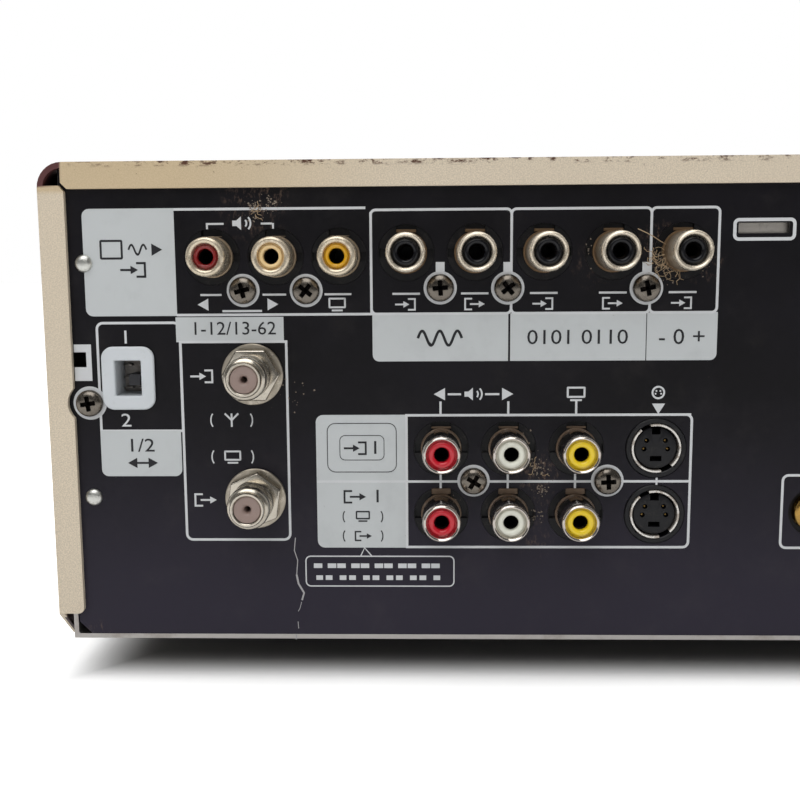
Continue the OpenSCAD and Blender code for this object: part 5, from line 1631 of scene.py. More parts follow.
@dataclass(frozen=True)
class Row:
    """A group of equal sockets: places on their side, and sizes in mm."""

    name: str
    places: Sequence[Point]
    out: float
    inner: float = 0.0
    tab: float = 0.0
    side: Side = Side.REAR
    sheets: Point = (1.0, 2.0)
    recess_in: float = 14.0

    @property
    def wall(self) -> float:
        """Thickness of the sheet that the sockets pass through."""
        return self.sheets[0 if self.side is Side.REAR else 1]

    def stamped(self, casing: Casing, name: str, master: Piece) -> Piece:
        """Copies a piece to every socket's place.

        Args:
            casing: The casing.
            name: Name of the result.
            master: The piece, at the origin, facing +Y. It is used up.

        Returns:
            One piece that holds every copy.
        """
        y = casing.face_y + self.recess_in * MM
        spots = [casing.rear(u, v) if self.side is Side.REAR else Vector((u * MM, y, v * MM))
                 for u, v in self.places]
        return Bench.stamped(name, master, spots, side=self.side)


@dataclass
class Sockets:
    """Phono, round multi-pin, aerial and control sockets and the mains inlet; sizes in mm."""

    shop: Shop
    sleeve_r: float = 4.15
    flange_r: float = 4.45
    hole_r: float = 1.6
    step: float = 130.0
    rows_v: Point = (43.5, 28.8)
    first_u: float = 86.0
    round_u: float = 132.75
    front_z: float = 30.0
    body_r: float = 6.55
    shield_r: Point = (4.86, 5.4)
    nut_r: float = 6.3
    aerials_at: tuple[Point, ...] = ((45.0, 60.05), (45.0, 32.5), (185.0, 84.0), (207.0, 84.0))
    jack_at: Point = (167.2, 29.2)
    inlet_at: Point = (395.0, 30.0)

    def build(self) -> None:
        """Builds and dresses every socket."""
        av = [(self.first_u + 14.75 * i + s, v) for i in range(3) for s in (0.0, self.step)
              for v in self.rows_v]
        decoder = [(36.85 + 13.7 * i, 85.35) for i in range(3)]
        radio = [(78.6 + 14.7 * i, 86.0) for i in range(5)]
        front = [(x, self.front_z) for x in (-136.0, -122.0, -108.0)]
        warm = Plating("decoder_plating", tone(226, 212, 188), 0.26, reach=4.5, amount=0.75,
                       grime=0.45, metal=0.72)
        rusty = Plating("radio_plating", tone(236, 224, 204), 0.26, tarnish=tone(112, 84, 52), reach=10.0,
                        amount=0.95, grime=0.4, metal=0.72)
        bright = Plating("av_plating", tone(222, 214, 206), 0.13, tarnish=tone(104, 80, 56), reach=2.6,
                         amount=0.9, grime=0.12)
        for row, finish in ((Row("decoder_sleeves", decoder, 7.6, 2.75, 4.4), warm),
                            (Row("radio_sleeves", radio, 9.3, 3.1, 4.95), rusty),
                            (Row("upper_sleeves", av[::2], 8.8, 3.2, 4.8), bright),
                            (Row("lower_sleeves", av[1::2], 8.8, 3.2, 5.65), bright),
                            (Row("front_sleeves", front, 8.0, 2.75, 4.75, Side.FRONT), bright)):
            self.place(row, self.sleeve(row), finish, "socket_plating", "jack_shells")
        fresh = {"red": tone(196, 28, 44), "white": tone(226, 226, 212), "yellow": tone(238, 206, 40)}
        aged = (tone(132, 30, 30), tone(238, 206, 150), tone(214, 160, 26))
        for i, (colour, new) in enumerate(fresh.items()):
            slot = "cream_plastic" if colour == "white" else f"{colour}_plastic"
            for row, shade, age in (
                    (Row(f"decoder_{colour}", decoder[i:i + 1], 7.6, 2.75), aged[i], "aged"),
                    (Row(f"av_{colour}", av[4 * i:4 * i + 4], 8.8, 3.2), new, "new"),
                    (Row(f"front_{colour}", front[i:i + 1], 8.0, 2.75, side=Side.FRONT), new, "new")):
                self.place(row, self.insert(row), Plastic(f"{age}_{colour}", shade, 0.16, coat=0.3,
                                                          gloss=0.55), slot, f"jack_inserts_{colour}")
        row = Row("radio_inserts", radio, 9.3, 3.1)
        self.place(row, self.insert(row), Plastic("socket_black", tone(14, 14, 18), 0.2, gloss=0.35,
                                                  dust=0.12), "black_plastic", "jack_inserts_black")
        self.linings((Row("dec", decoder, 7.6), Row("av", av, 8.8), Row("rf", radio, 9.3),
                      Row("fr", front, 8.0, side=Side.FRONT)))
        self.round_sockets()
        self.aerials()
        self.others()

    def place(self, row: Row, master: Piece, finish: Finish, slot: str, node: str) -> None:
        """Copies a piece to a row's places and dresses it as a part of a node."""
        settle(row.stamped(self.shop.casing, row.name, master), finish, slot, nodes=[node])

    def sleeve(self, row: Row) -> Piece:
        """A sleeve with a rolled rim, its base flange and its earth tab.

        Args:
            row: The sockets that it is for.

        Returns:
            The sleeve at the origin, facing +Y.
        """
        r, f, i, out, t = self.sleeve_r, self.flange_r, row.inner, row.out, row.wall
        outline = [(i, -t), (f, -t), (f, 0.08), (f - 0.1, 0.2), (r, 0.22), (r, out - 0.9),
                   (r - 0.05, out - 0.55), (r - 0.18, out - 0.26), (r - 0.36, out - 0.08),
                   ((r + i) / 2, out), (i + 0.28, out - 0.1), (i + 0.1, out - 0.3), (i, out - 0.6), (i, -t)]
        ring = Bench.turned("sleeve", outline, steps=72)
        tab = Bench.block("tab", (-2.15, -t, f - 0.15), (2.15, 0.4 - t, row.tab), 0.1)
        return Bench.joined("sleeve", [ring, tab])

    def insert(self, row: Row) -> Piece:
        """The coloured ring in a sleeve, its face domed.

        Args:
            row: The sockets that it is for.

        Returns:
            The ring at the origin, facing +Y.
        """
        t, out, h = row.wall, row.out, self.hole_r
        r = row.inner - 0.03
        half = (r - 0.25 - h) / 2
        dome = [(h + half - half * cos(radians(a)),
                 out - 1.15 + 0.55 * sin(radians(a))) for a in range(180, -1, -20)]
        outline = [(h, -t), (r, -t), (r, out - 1.3), (r - 0.25, out - 1.2)] + dome[1:] + [(h, -t)]
        return Bench.turned("insert", outline, steps=56, smooth=50)

    def linings(self, rows: Sequence[Row]) -> None:
        """Contact tubes in the holes of the inserts, coloured near-black as painted shade deep in the
        holes.

        Args:
            rows: The groups of sockets.
        """
        pieces = []
        for row in rows:
            t, r = row.wall, self.hole_r - 0.02
            tube = Bench.turned("lining", [(r - 0.3, 0.5 - t), (r, 0.5 - t), (r, row.out - 1.9),
                                           (r - 0.3, row.out - 2.3), (r - 0.3, 0.5 - t)], steps=40)
            pieces.append(row.stamped(self.shop.casing, row.name, tube))
        # painted shade: the contacts are near-black to stand for the shade deep in the holes
        settle(Bench.joined("socket_linings", pieces),
               Metal("lining_metal", tone(30, 26, 24), 0.5, stained=0.4), "black_plastic",
               nodes=["jack_inserts_black"])

    def round_sockets(self) -> None:
        """Bodies, shields and contacts of the round multi-pin sockets."""
        black = Plastic("round_socket_black", tone(15, 15, 19), 0.34, gloss=0.35, dust=0.12)
        bright = Plating("shield_plating", tone(232, 228, 222), 0.24, reach=0.4, amount=0.5, grime=0.1,
                         metal=0.75)
        gold = Metal("contact_gold", tone(150, 120, 70), 0.35)
        near, far = self.shield_r
        places = [(self.round_u + s, v) for s in (0.0, self.step) for v in self.rows_v]
        for name, spots, side in (("rear", places, Side.REAR),
                                  ("front", [(-92.0, self.front_z)], Side.FRONT)):
            row = Row(f"{name}_round_bodies", spots, 0.3, side=side)
            back = -row.wall - (9.0 if side is Side.REAR else 0.0)
            self.place(row, self.round_body(back), black, "black_plastic", "jack_inserts_black")
            arcs = [Bench.turned("arc", [(near, back + 1), (far, back + 1), (far, 0.46), (far - 0.1, 0.6),
                                         (near + 0.1, 0.6), (near, 0.46), (near, back + 1)],
                                 steps=40, arc=153.0, start=start) for start in (-75.5, 102.5)]
            self.place(Row(f"{name}_shields", spots, 0.3, side=side), Bench.joined("shield", arcs), bright,
                       "socket_plating", "svideo_shields")
            if side is Side.REAR:
                outline = [(0, -2.6), (0.34, -2.6), (0.34, -0.9), (0.2, -0.6), (0, -0.55)]
                pins = [Bench.turned("pin", outline, steps=16, centre=(x * MM, 0, z * MM))
                        for x, z in self.contacts()]
                self.place(Row("round_socket_pins", places, 0.3), Bench.joined("pins", pins), gold,
                           "socket_plating", "svideo_shields")

    @staticmethod
    def contacts() -> list[Point]:
        """Places of the four contacts of a round socket."""
        return [(s * x, z) for x, z in ((2.03, 1.67), (2.56, -0.2)) for s in (-1, 1)]

    def round_body(self, back: float) -> Piece:
        """Black body: a cup round a core with contact holes, a key slot and a notch.

        Args:
            back: Its rear face.

        Returns:
            The body at the origin, facing +Y.
        """
        core, deep = 4.62, back + 1
        outline = [(0, back), (self.body_r, back), (self.body_r, 0.12), (self.body_r - 0.18, 0.3),
                   (5.62, 0.3), (5.46, 0.15), (5.46, deep), (core, deep), (core, -0.35),
                   (core - 0.16, -0.14), (core - 0.7, 0.0), (0, 0.0)]
        body = Bench.turned("round_body", outline, steps=72)
        low = max(back + 1.5, -5.0) if back < -5 else back + 0.4
        tools = [Bench.turned("hole", [(0, low), (0.55, low), (0.55, 1), (0, 1)], steps=20,
                              centre=(x * MM, 0, z * MM)) for x, z in self.contacts()]
        tools.append(Bench.block("key", (-1.25, low, -2.9), (1.25, 1, -1.75)))
        tools.append(Bench.block("notch", (-0.95, low, 3.0), (0.95, 1, 4.9)))
        tools += [Bench.block("foot", (x - 0.55, low, -4.1), (x + 0.55, 1, -3.3)) for x in (-3.6, 3.6)]
        return Bench.shaded(Bench.cut(body, Bench.joined("tools", tools)))

    def aerials(self) -> None:
        """Threaded aerial connectors with washers, nuts and insulators."""
        casing = self.shop.casing
        spots = [casing.rear(u, v) for u, v in self.aerials_at]
        barrel = [(2.97, -1), (4.6, -1), (4.6, 0.2), (6.6, 0.2), (6.7, 0.32), (6.7, 0.78), (6.55, 0.9),
                  (4.5, 0.92), (4.5, 3.6)]
        for ridge in range(3):
            y = 3.75 + 0.8 * ridge
            barrel += [(4.42, y), (4.57, y + 0.28), (4.57, y + 0.5), (4.42, y + 0.78)]
        barrel += [(4.57, 6.4), (4.58, 9.9), (4.5, 10.4), (4.2, 10.8), (3.78, 10.95), (3.7, 11.2),
                   (3.68, 11.75), (3.5, 12.0),
                   (3.15, 12.0), (2.97, 11.8), (2.97, -1)]
        hexagon = [polar(self.nut_r, a) for a in range(0, 360, 60)]
        nut = Bench.rounded(Bench.plate("nut", hexagon, 0.85, 3.4), 0.35, 3)
        bore = Bench.turned("bore", [(0, -2), (4.3, -2), (4.3, 5), (0, 5)], steps=48)
        master = Bench.joined("aerial", [Bench.turned("barrel", barrel, steps=72), Bench.cut(nut, bore)])
        nickel = Plating("aerial_plating", tone(212, 204, 190), 0.22, tarnish=tone(120, 108, 90), reach=3.4,
                         amount=0.5, grime=0.2)
        settle(Bench.stamped("aerial_barrels", master, spots, (0, 22, 8, 40)), nickel, "aerial_plating",
               nodes=["f_connectors"])
        core = Bench.turned("insulator", [(0.7, -1), (2.94, -1), (2.94, 11.3), (2.82, 11.55), (1.35, 11.6),
                                          (0.95, 11.35), (0.7, 10.9), (0.7, -1)], steps=48)
        settle(Bench.stamped("aerial_insulators", core, spots),
               Plastic("insulator", tone(150, 130, 122), 0.4, dust=0.2), "aerial_plating",
               nodes=["f_connectors"])

    def others(self) -> None:
        """Housings, control jack and mains inlet."""
        black = Plastic("housing_black", tone(9, 8, 11), 0.4, gloss=0.3, dust=0.12)
        self.shop.soften("jack_blocks", black, "black_plastic", edge=0.0)
        ring = Bench.turned("control_ring", [(1.8, -9), (4.2, -9), (4.2, 0.4), (4.1, 0.75), (3.75, 1.04),
                                             (3.3, 1.1), (2.5, 1.1), (2.1, 0.98), (1.8, 0.6), (1.8, -9)],
                            steps=64)
        settle(Bench.stamped("control_jack_ring", ring, [self.shop.casing.rear(*self.jack_at)]),
               Metal("brass_ring", tone(196, 156, 84), 0.22, stained=0.5), "brass_ring",
               nodes=["control_jack"])
        self.shop.soften("ac_inlet", black, "black_plastic", edge=0.3)
        pin = Bench.turned("inlet_pin", [(0, -13), (1.15, -13), (1.15, -2.6), (0.9, -2.1), (0.4, -1.9),
                                         (0, -1.88)], steps=32)
        inlet = self.shop.casing.rear(*self.inlet_at)
        pins = Bench.stamped("inlet_pins", pin, [inlet + Vector((s * 4.3 * MM, 0, 0)) for s in (-1, 1)])
        settle(pins, Metal("inlet_nickel", tone(200, 196, 188), 0.2), "socket_plating", nodes=["ac_inlet"])


@dataclass
class ChannelSwitch:
    """The channel switch: a glossy rim, its well, contact strips and a knob; sizes in mm."""

    shop: Shop
    half: Point = (5.825, 6.95)
    window: Point = (2.85, 3.85)
    corner: float = 2.6
    place: Point = (17.75, 59.3)

    def build(self) -> None:
        """Builds and dresses the switch."""
        (a, b), (w, h) = self.half, self.window
        rim = Bench.plate("rim", corners(-a, -b, a, b, (self.corner,) * 4, 7), 0.0, 0.95)
        shells = [rim, Bench.block("neck", (1.3 - a, -1.0, 1.3 - b), (a - 1.3, 0.05, b - 1.3)),
                  Bench.block("well", (0.9 - a, -10.0, -b), (a - 0.9, -1.0, b))]
        for index, shell in enumerate(shells):
            reach = -7.0 if index < 2 else -6.5
            Bench.cut(shell, Bench.block("window", (-w, reach, -h), (w, 2, h)))
        Bench.rounded(rim, 0.42, 4)
        spot = self.shop.casing.rear(*self.place)
        body = Bench.stamped("channel_switch_rim", Bench.joined("switch", shells), [spot])
        settle(body, Plastic("switch_rim", tone(206, 211, 215), 0.2, coat=0.35, dust=0.15), "switch_rim",
               nodes=["channel_switch_body"])
        strips = [Bench.block("strip", (x, -6.3, z), (x + wide, -4.6, z + 0.5), 0.08)
                  for x, wide in ((-2.3, 1.6), (0.6, 1.9)) for z in (-2.9, -0.6, 2.2)]
        strips.append(Bench.block("frame", (-2.7, -6.45, -3.7), (2.7, -6.0, 3.7), 0.1))
        piece = Bench.stamped("channel_switch_contacts", Bench.joined("strips", strips), [spot])
        settle(piece, Metal("switch_contacts", tone(120, 116, 112), 0.4, stained=0.6), "switch_rim",
               nodes=["channel_switch_body"])
        self.shop.soften("channel_switch_knob", Plastic("switch_knob", tone(40, 40, 44), 0.4),
                         "switch_knob", "channel_switch_knob", 0.25, 3)


# ---------------- front


@dataclass
class FrontPanel:
    """Bezel, window, door, flap, keys, dials and front print; sizes in mm."""

    shop: Shop
    keys: tuple[str, ...] = ("power", "eject", "rewind", "play", "forward", "stop", "pause", "record")
    dial: Point = (158.0, 42.0)
    ring_r: float = 24.0
    dial_r: float = 17.0
    dial_h: float = 10.0
    teeth: int = 60
    recess_in: float = 14.0

    def build(self) -> None:
        """Builds and dresses the front."""
        shop = self.shop
        pale = Plastic("bezel_plastic", tone(206, 194, 173), 0.36, grain=0.012)
        shop.soften("front_bezel", pale, "bezel_plastic", edge=0.45)
        door = Plastic("door_plastic", tone(199, 187, 165), 0.34, grain=0.012)
        for node in ("front_door", "cassette_flap"):
            shop.soften(node, door, "door_plastic", node, 0.4, 3)
        keys = Plastic("key_plastic", tone(150, 141, 122), 0.3, grain=0.004)
        for key in self.keys:
            shop.soften(f"{key}_button", keys, "key_plastic", f"{key}_button", 0.7, 4)
        shop.soften("channel_rocker", keys, "key_plastic", "channel_rocker", 0.5, 3)
        shop.soften("output_switch_knob", Plastic("slide_knob", tone(46, 46, 50), 0.4), "switch_knob",
                    "output_switch_knob", 0.25, 3)
        glass = Bench.softened(shop.nodes["display_window"], "display_window_skin", 0.25, 2)
        settle(glass, Glass("smoked_window", tone(132, 124, 122), 0.03), "smoked_window",
               nodes=["display_window"])
        self.dials()
        self.trim()
        self.signs()

    def trim(self) -> None:
        """A metal line across the front and a lamp beside the power key."""
        face = self.shop.casing.face_y / MM
        line = Bench.block("front_trim", (-206.0, face - 0.35, 46.9), (127.0, face + 0.4, 47.8), 0.25)
        settle(line, Metal("trim_metal", tone(176, 160, 128), 0.3, (0.05, 1, 1), 0.002), "bezel_plastic")
        lens = Bench.turned("lamp", [(0, -0.5), (1.3, -0.5), (1.3, 0.1), (1.1, 0.45), (0.6, 0.68),
                                     (0, 0.74)], steps=32)
        settle(Bench.stamped("power_lamp", lens, [Vector((-162.0, face, 94.0)) * MM], side=Side.FRONT),
               Plastic("lamp_red", tone(150, 24, 22), 0.1, coat=0.5), "red_plastic")

    def dials(self) -> None:
        """Jog dial with a milled edge and a finger dimple, and the shuttle ring round it."""
        x, z = self.dial
        y = self.shop.casing.face_y / MM
        place = Vector((x, y, z)) * MM
        r, top = self.dial_r, self.dial_h
        cap = [(0, -4.0), (r - 0.3, -4.0), (r - 0.3, top - 2.4), (r, top - 2.2), (r, top - 1.2),
               (r - 0.35, top - 0.5), (r - 1.0, top - 0.08), (r - 2.2, top), (r - 2.6, top - 0.25),
               (2.0, top - 0.35), (0, top - 0.35)]
        dial = Bench.turned("dial", cap, steps=96)
        dimple = Bench.turned("dimple", [(0, top - 1.35), (2.6, top - 1.15), (3.9, top - 0.5),
                                         (4.3, top + 0.5), (0, top + 0.5)], steps=40,
                              centre=(-0.55 * r * MM, 0, 0))
        dial = Bench.cut(dial, dimple)
        low, high = (r - 0.55, 0.5, -0.3), (r - 0.05, top - 2.5, 0.3)
        teeth = [Bench.swung(Bench.block("tooth", low, high, 0.12, 1), 360 / self.teeth * step)
                 for step in range(self.teeth)]
        shaft = Bench.turned("shaft", [(0, -26.5), (2.6, -26.5), (3.0, -26.0), (3.0, -3.9), (0, -3.9)],
                             steps=40)
        grey = Plastic("dial_plastic", tone(62, 62, 66), 0.3, coat=0.1)
        whole = Bench.stamped("jog_dial_skin", Bench.joined("dial", [dial, shaft] + teeth), [place],
                              side=Side.FRONT)
        settle(whole, grey, "dial_plastic", "jog_dial", ["jog_dial"])
        inner, outer = r + 0.8, self.ring_r
        ring = [(inner, -6.6), (8.1, -6.6), (8.1, -8.6), (outer, -8.6), (outer, 3.6), (outer - 0.3, 4.4),
                (outer - 1.1, 4.95), (inner + 1.2, 4.2), (inner + 0.4, 3.7), (inner, 3.0), (inner, -6.6)]
        shell = Bench.turned("shuttle", ring, steps=96)
        pips = [Bench.swung(Bench.block("pip", (-0.35, 3.9, inner + 1.6), (0.35, 4.99, outer - 1.6), 0.2),
                            angle) for angle in (-60, -30, 0, 30, 60)]
        whole = Bench.stamped("shuttle_ring_skin", Bench.joined("shuttle", [shell] + pips), [place],
                              side=Side.FRONT)
        settle(whole, Plastic("ring_plastic", tone(104, 102, 100), 0.34, coat=0.1), "dial_plastic",
               "shuttle_ring", ["shuttle_ring"])

    def signs(self) -> None:
        """Signs by the keys, the dial's scale and the marks behind the door."""
        face = Vector((0, self.shop.casing.face_y, 0))
        grey = Ink("front_ink", tone(64, 60, 56), 0.5, 0.1)
        for key in self.keys:
            low, high = (Vector(corner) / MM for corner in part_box(f"{key}_button"))
            caption = Sheet(f"{key}_sign")
            caption.mark(Sign[key.upper()], (low.x + high.x) / 2, (low.z + high.z) / 2)
            caption.lay(self.shop, Vector((0, low.y * MM, 0)), grey, Side.FRONT, f"{key}_button")
        self.leaf_signs(grey)
        ink = Sheet("front_signs")
        (x, z), reach = self.dial, self.ring_r + 7.5
        for step in range(-6, 7):
            inner, outer = self.ring_r + 1.6, self.ring_r + (3.6 if step % 2 else 4.6)
            ends = (polar(r, 90 - step * 20) for r in (inner, outer))
            ink.stroke([(x + dx, z + dz) for dx, dz in ends], 0.5)
        for text, at in (("- 2", -120), ("0", 0), ("+ 2", 120)):
            dx, dz = polar(reach, 90 - at)
            ink.number(text, x + dx, z + dz + (0 if at else -1.4), 2.6)
        ink.lay(self.shop, face, grey, Side.FRONT)
        inside = Sheet("recess_signs")
        recess = face + Vector((0, self.recess_in * MM, 0))
        inside.arrow(-136.0, 38.6, 2.4)
        inside.arrow(-122.0, 38.6, 2.4)
        inside.mark(Sign.SCREEN, -108.0, 38.6, 2.4)
        inside.number("1  2  3", -50, 38.8, 2.6)
        inside.number("1", -19, 36.6, 2.4)
        inside.number("2", -11, 36.6, 2.4)
        inside.lay(self.shop, recess, grey, Side.FRONT)

    def leaf_signs(self, ink: Ink) -> None:
        """Cassette sign on the flap and an opening mark on the door.

        Args:
            ink: Ink of both.
        """
        flap, door = Sheet("flap_sign"), Sheet("door_sign")
        flap.frame(78.6, 72.6, 91.0, 79.6, 0.4, (0.8, 0.8, 0.8, 0.8))
        for x in (82.0, 87.6):
            flap.ring(x, 76.1, 1.5, 1.0)
        flap.box(83.9, 75.0, 85.7, 77.2)
        door.fill([(-27.4, 42.6), (-25.0, 40.4), (-22.6, 42.6)])
        for sheet, node in ((flap, "cassette_flap"), (door, "front_door")):
            sheet.lay(self.shop, Vector((0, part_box(node)[0][1], 0)), ink, Side.FRONT, node)


# ---------------- deck and boards


@dataclass
class TapeDeck:
    """The deck's plates, drum, reels, levers and gears, by their finish."""

    shop: Shop
    bodies: Sequence[str]
    worm_x: float = -99.75
    worm_r: Point = (3.5, 4.6)
    pitch: float = 3.1
    turns: int = 5

    def build(self) -> None:
        """Rounds and dresses every piece of the deck, and cuts the worm's thread."""
        zinc = Metal("deck_steel", tone(176, 178, 180), 0.34, (0.06, 1, 1), 0.003, stained=0.25)
        bright = Metal("lever_steel", tone(168, 170, 172), 0.28, (1, 1, 4), 0.002)
        white = Plastic("white_plastic", tone(228, 226, 216), 0.34, grain=0.004)
        jobs = (
            ("deck_plate carriage_brackets carriage_slider cassette_holder", zinc, "deck_steel", 0.12),
            ("pinch_arm idler_arm tension_arm", bright, "lever_steel", 0.2),
            ("drum_base", Metal("drum_cast", tone(178, 180, 184), 0.3, (1, 1, 6), 0.002), "drum_metal",
             0.2),
            ("drum_upper", Metal("drum_polish", tone(206, 208, 212), 0.22, (1, 1, 8)), "drum_metal", 0.15),
            ("capstan", Metal("shaft_steel", tone(200, 202, 204), 0.12, (1, 1, 5)), "shaft_steel", 0.2),
            ("pinch_roller", Plastic("roller_rubber", tone(34, 31, 30), 0.6, grain=0.01), "roller_rubber",
             0.3),
            ("supply_reel takeup_reel idler_gear cam_gear", white, "white_plastic", 0.18),
            ("supply_sled takeup_sled", Metal("sled_brass", tone(198, 168, 98), 0.26), "sled_brass", 0.2),
            ("tape_heads", Metal("head_metal", tone(126, 128, 132), 0.2, (1, 1, 3)), "head_metal", 0.35),
            ("loading_motor", Metal("motor_steel", tone(128, 132, 138), 0.28, (0.1, 1, 1)), "motor_steel",
             0.5),
        )
        for names, finish, slot, edge in jobs:
            for node in names.split():
                self.shop.soften(node, finish, slot, node if node in self.bodies else "chassis", edge)
        self.worm(white)

    def worm(self, finish: Finish) -> None:
        """The loading worm with a real thread.

        Args:
            finish: Its finish.
        """
        low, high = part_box("loading_worm")
        centre = (Vector(low) + Vector(high)) / 2
        (root, tip), pitch, x0 = self.worm_r, self.pitch, self.worm_x
        end = x0 + pitch * self.turns + 3.0
        profile = [(0.0, root), (0.35, root), (0.5, tip), (0.85, tip), (1.0, root)]
        Bench.trace([Vector(((x0 + a * pitch) * MM, centre.y + r * MM, centre.z)) for a, r in profile])
        thread = Bench.close()
        screw = thread.modifiers.new("screw", "SCREW")
        screw.axis = "X"
        screw.screw_offset = pitch * MM
        screw.iterations = self.turns
        screw.steps = screw.render_steps = 36
        screw.use_merge_vertices = True
        screw.merge_threshold = 1e-6
        pivot = bpy.data.objects.new("pivot", None)
        bpy.context.collection.objects.link(pivot)
        pivot.location = (0, centre.y, centre.z)
        bpy.context.view_layer.update()
        screw.object = pivot
        bpy.ops.object.modifier_apply(modifier=screw.name)
        bpy.data.objects.remove(pivot)
        Bench.edit(thread)
        bpy.ops.mesh.remove_doubles(threshold=2e-6)
        bpy.ops.mesh.fill_holes(sides=0)
        Bench.outwards()
        Bench.shaded(Bench.close("thread"), 40)
        axis = (0, centre.y, centre.z)
        core = Bench.turned("core", [(0, x0 - 0.3), (root + 0.05, x0 - 0.3), (root + 0.05, end), (0, end)],
                            Turn.X, 40, axis)
        a, b = low[0] / MM, high[0] / MM
        shaft = Bench.turned("shaft", [(0, a), (1.3, a), (1.5, a + 0.2), (1.5, b - 0.2), (1.3, b), (0, b)],
                             Turn.X, 32, axis)
        settle(Bench.joined("loading_worm_skin", [thread, core, shaft]), finish, "white_plastic",
               "loading_worm", ["loading_worm"])


@dataclass
class Boards:
    """Circuit boards with their parts, split by finish; sizes in mm."""

    shop: Shop
    seed: int = 11
    top: float = 17.7
    coil_z: Point = (22.0, 55.0)
    coil_y: tuple[Point, Point] = ((98.0, 106.5), (143.5, 152.0))
    core_y: Point = (105.0, 145.0)
    core_x: float = -140.0
    fins: Point = (-143.0, 85.0)
    tube_in: float = 22.0

    def build(self) -> None:
        """Builds and dresses the boards, the tuner cans and the parts on them."""
        green = Plastic("green_board", tone(52, 84, 46), 0.4, coat=0.3)
        dark = Plastic("dark_board", tone(24, 40, 26), 0.45)
        brown = Plastic("brown_board", tone(146, 112, 66), 0.5)
        part = Plastic("part_black", tone(28, 28, 32), 0.36)
        iron = Metal("iron_core", tone(112, 110, 108), 0.4, (1, 1, 8), 0.01)
        tape = Plastic("winding_tape", tone(206, 168, 60), 0.42)
        sink = Metal("heat_sink", tone(150, 152, 154), 0.32, (1, 1, 0.2), 0.003)
        self.split("main_board", green, "green_board", (("main_parts", part, lambda p: p.z > self.top),))
        self.split("power_board", brown, "brown_board", (
            ("power_coil", tape, self.on_coil),
            ("power_core", iron, lambda p: p.z > self.top and self.core_y[0] < p.y < self.core_y[1]
             and p.x < self.core_x),
            ("power_fins", sink, lambda p: p.z > self.top and p.x < self.fins[0] and p.y < self.fins[1]),
            ("power_cans", part, lambda p: p.z > self.top)))
        face = self.shop.casing.face_y / MM + self.tube_in
        self.split("display_board", dark, "green_board", (("display_parts", part,
                                                           lambda p: p.y < face - 0.05),))
        self.shop.soften("jack_board", brown, "brown_board", edge=0.1)
        self.shop.soften("tuner_module", Metal("tin_can", tone(190, 194, 198), 0.26, (1, 0.1, 1), 0.003),
                         "tin_can", edge=0.25)
        self.resistors()
        self.segments()

    def on_coil(self, spot: Vector) -> bool:
        """Whether a place in mm is on the transformer's winding."""
        return (self.coil_z[0] < spot.z < self.coil_z[1]
                and any(near < spot.y < far for near, far in self.coil_y))

    def split(self, node: str, finish: Finish, slot: str,
              parts: Sequence[tuple[str, Finish, Callable[[Vector], bool]]]) -> None:
        """Replaces a board by its bare plate and its parts.

        Args:
            node: The board's node.
            finish: Finish of the bare board.
            slot: Material slot of all of it.
            parts: Name, finish and test of a face's place in mm, for each group of parts.
        """
        board = Bench.softened(self.shop.nodes[node], f"{node}_skin", 0.0)
        found = []
        for name, look, test in parts:
            Bench.edit(board)
            bpy.ops.mesh.select_mode(type="FACE")
            bpy.ops.mesh.select_all(action="DESELECT")
            mesh = bmesh.from_edit_mesh(board.data)
            for face in mesh.faces:
                face.select_set(test(face.calc_center_median() / MM))
            bmesh.update_edit_mesh(board.data)
            bpy.ops.mesh.separate(type="SELECTED")
            bpy.ops.object.mode_set(mode="OBJECT")
            piece = next(o for o in bpy.context.selected_objects if o is not board)
            found.append((name, look, piece))
        for name, look, piece in found + [(f"{node}_skin", finish, board)]:
            Bench.edit(piece)
            bpy.ops.mesh.select_mode(type="VERT")
            bpy.ops.mesh.select_all(action="SELECT")
            bpy.ops.mesh.fill_holes(sides=0)
            Bench.outwards()
            Bench.close(name)
            Bench.rounded(piece, 0.15, 2)
            settle(piece, look, slot, nodes=[node])

    def resistors(self) -> None:
        """A row of small resistors on the main board's free strip."""
        draw = random.Random(self.seed)
        low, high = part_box("main_board")
        top = 17.65
        body = Bench.turned("resistor", [(0, -3.1), (0.9, -3.0), (1.15, -2.6), (1.1, -1.8), (0.95, -1.4),
                                         (0.95, 1.4), (1.1, 1.8), (1.15, 2.6), (0.9, 3.0), (0, 3.1)],
                            Turn.X, 20)
        legs = [Bench.block("leg", (s * 4.6 - 0.3, -0.3, -1.4), (s * 4.6 + 0.3, 0.3, 0.3), 0.12, 1)
                for s in (-1, 1)]
        wire = Bench.turned("wire", [(0, -4.8), (0.28, -4.8), (0.28, 4.8), (0, 4.8)], Turn.X, 12)
        master = Bench.joined("resistor", [body, wire] + legs)
        spots = []
        x = low[0] / MM + 16
        while x < high[0] / MM - 16:
            spots.append(Vector((x, low[1] / MM + 4.5 + draw.uniform(-1.2, 1.2), top + 1.4)) * MM)
            x += draw.choice((11.5, 12.5, 15.0))
        settle(Bench.stamped("main_resistors", master, spots),
               Plastic("resistor_paint", tone(180, 150, 104), 0.4), "green_board", nodes=["main_board"])

    def segments(self) -> None:
        """Unlit figures on the display tube behind the window."""
        tube = Sheet("display_figures")
        for x in (-34, -24, -10, 0, 14, 24):
            for z in (-3.0, 0.0, 3.0):
                tube.box(x - 1.7, z - 0.3, x + 1.7, z + 0.3)
            for side in (-2.1, 2.1):
                for z in (-1.5, 1.5):
                    tube.box(x + side - 0.3, z - 1.1, x + side + 0.3, z + 1.1)
        for x in (-17, 7):
            for z in (-1.2, 1.2):
                tube.ring(x, z, 0.5, 0, 16)
        spot = Vector((0, self.shop.casing.face_y + 5.97 * MM, 58 * MM))
        tube.lay(self.shop, spot, Ink("tube_ink", tone(196, 226, 214), 0.4, 0.05), Side.FRONT)


# ---------------- dirt


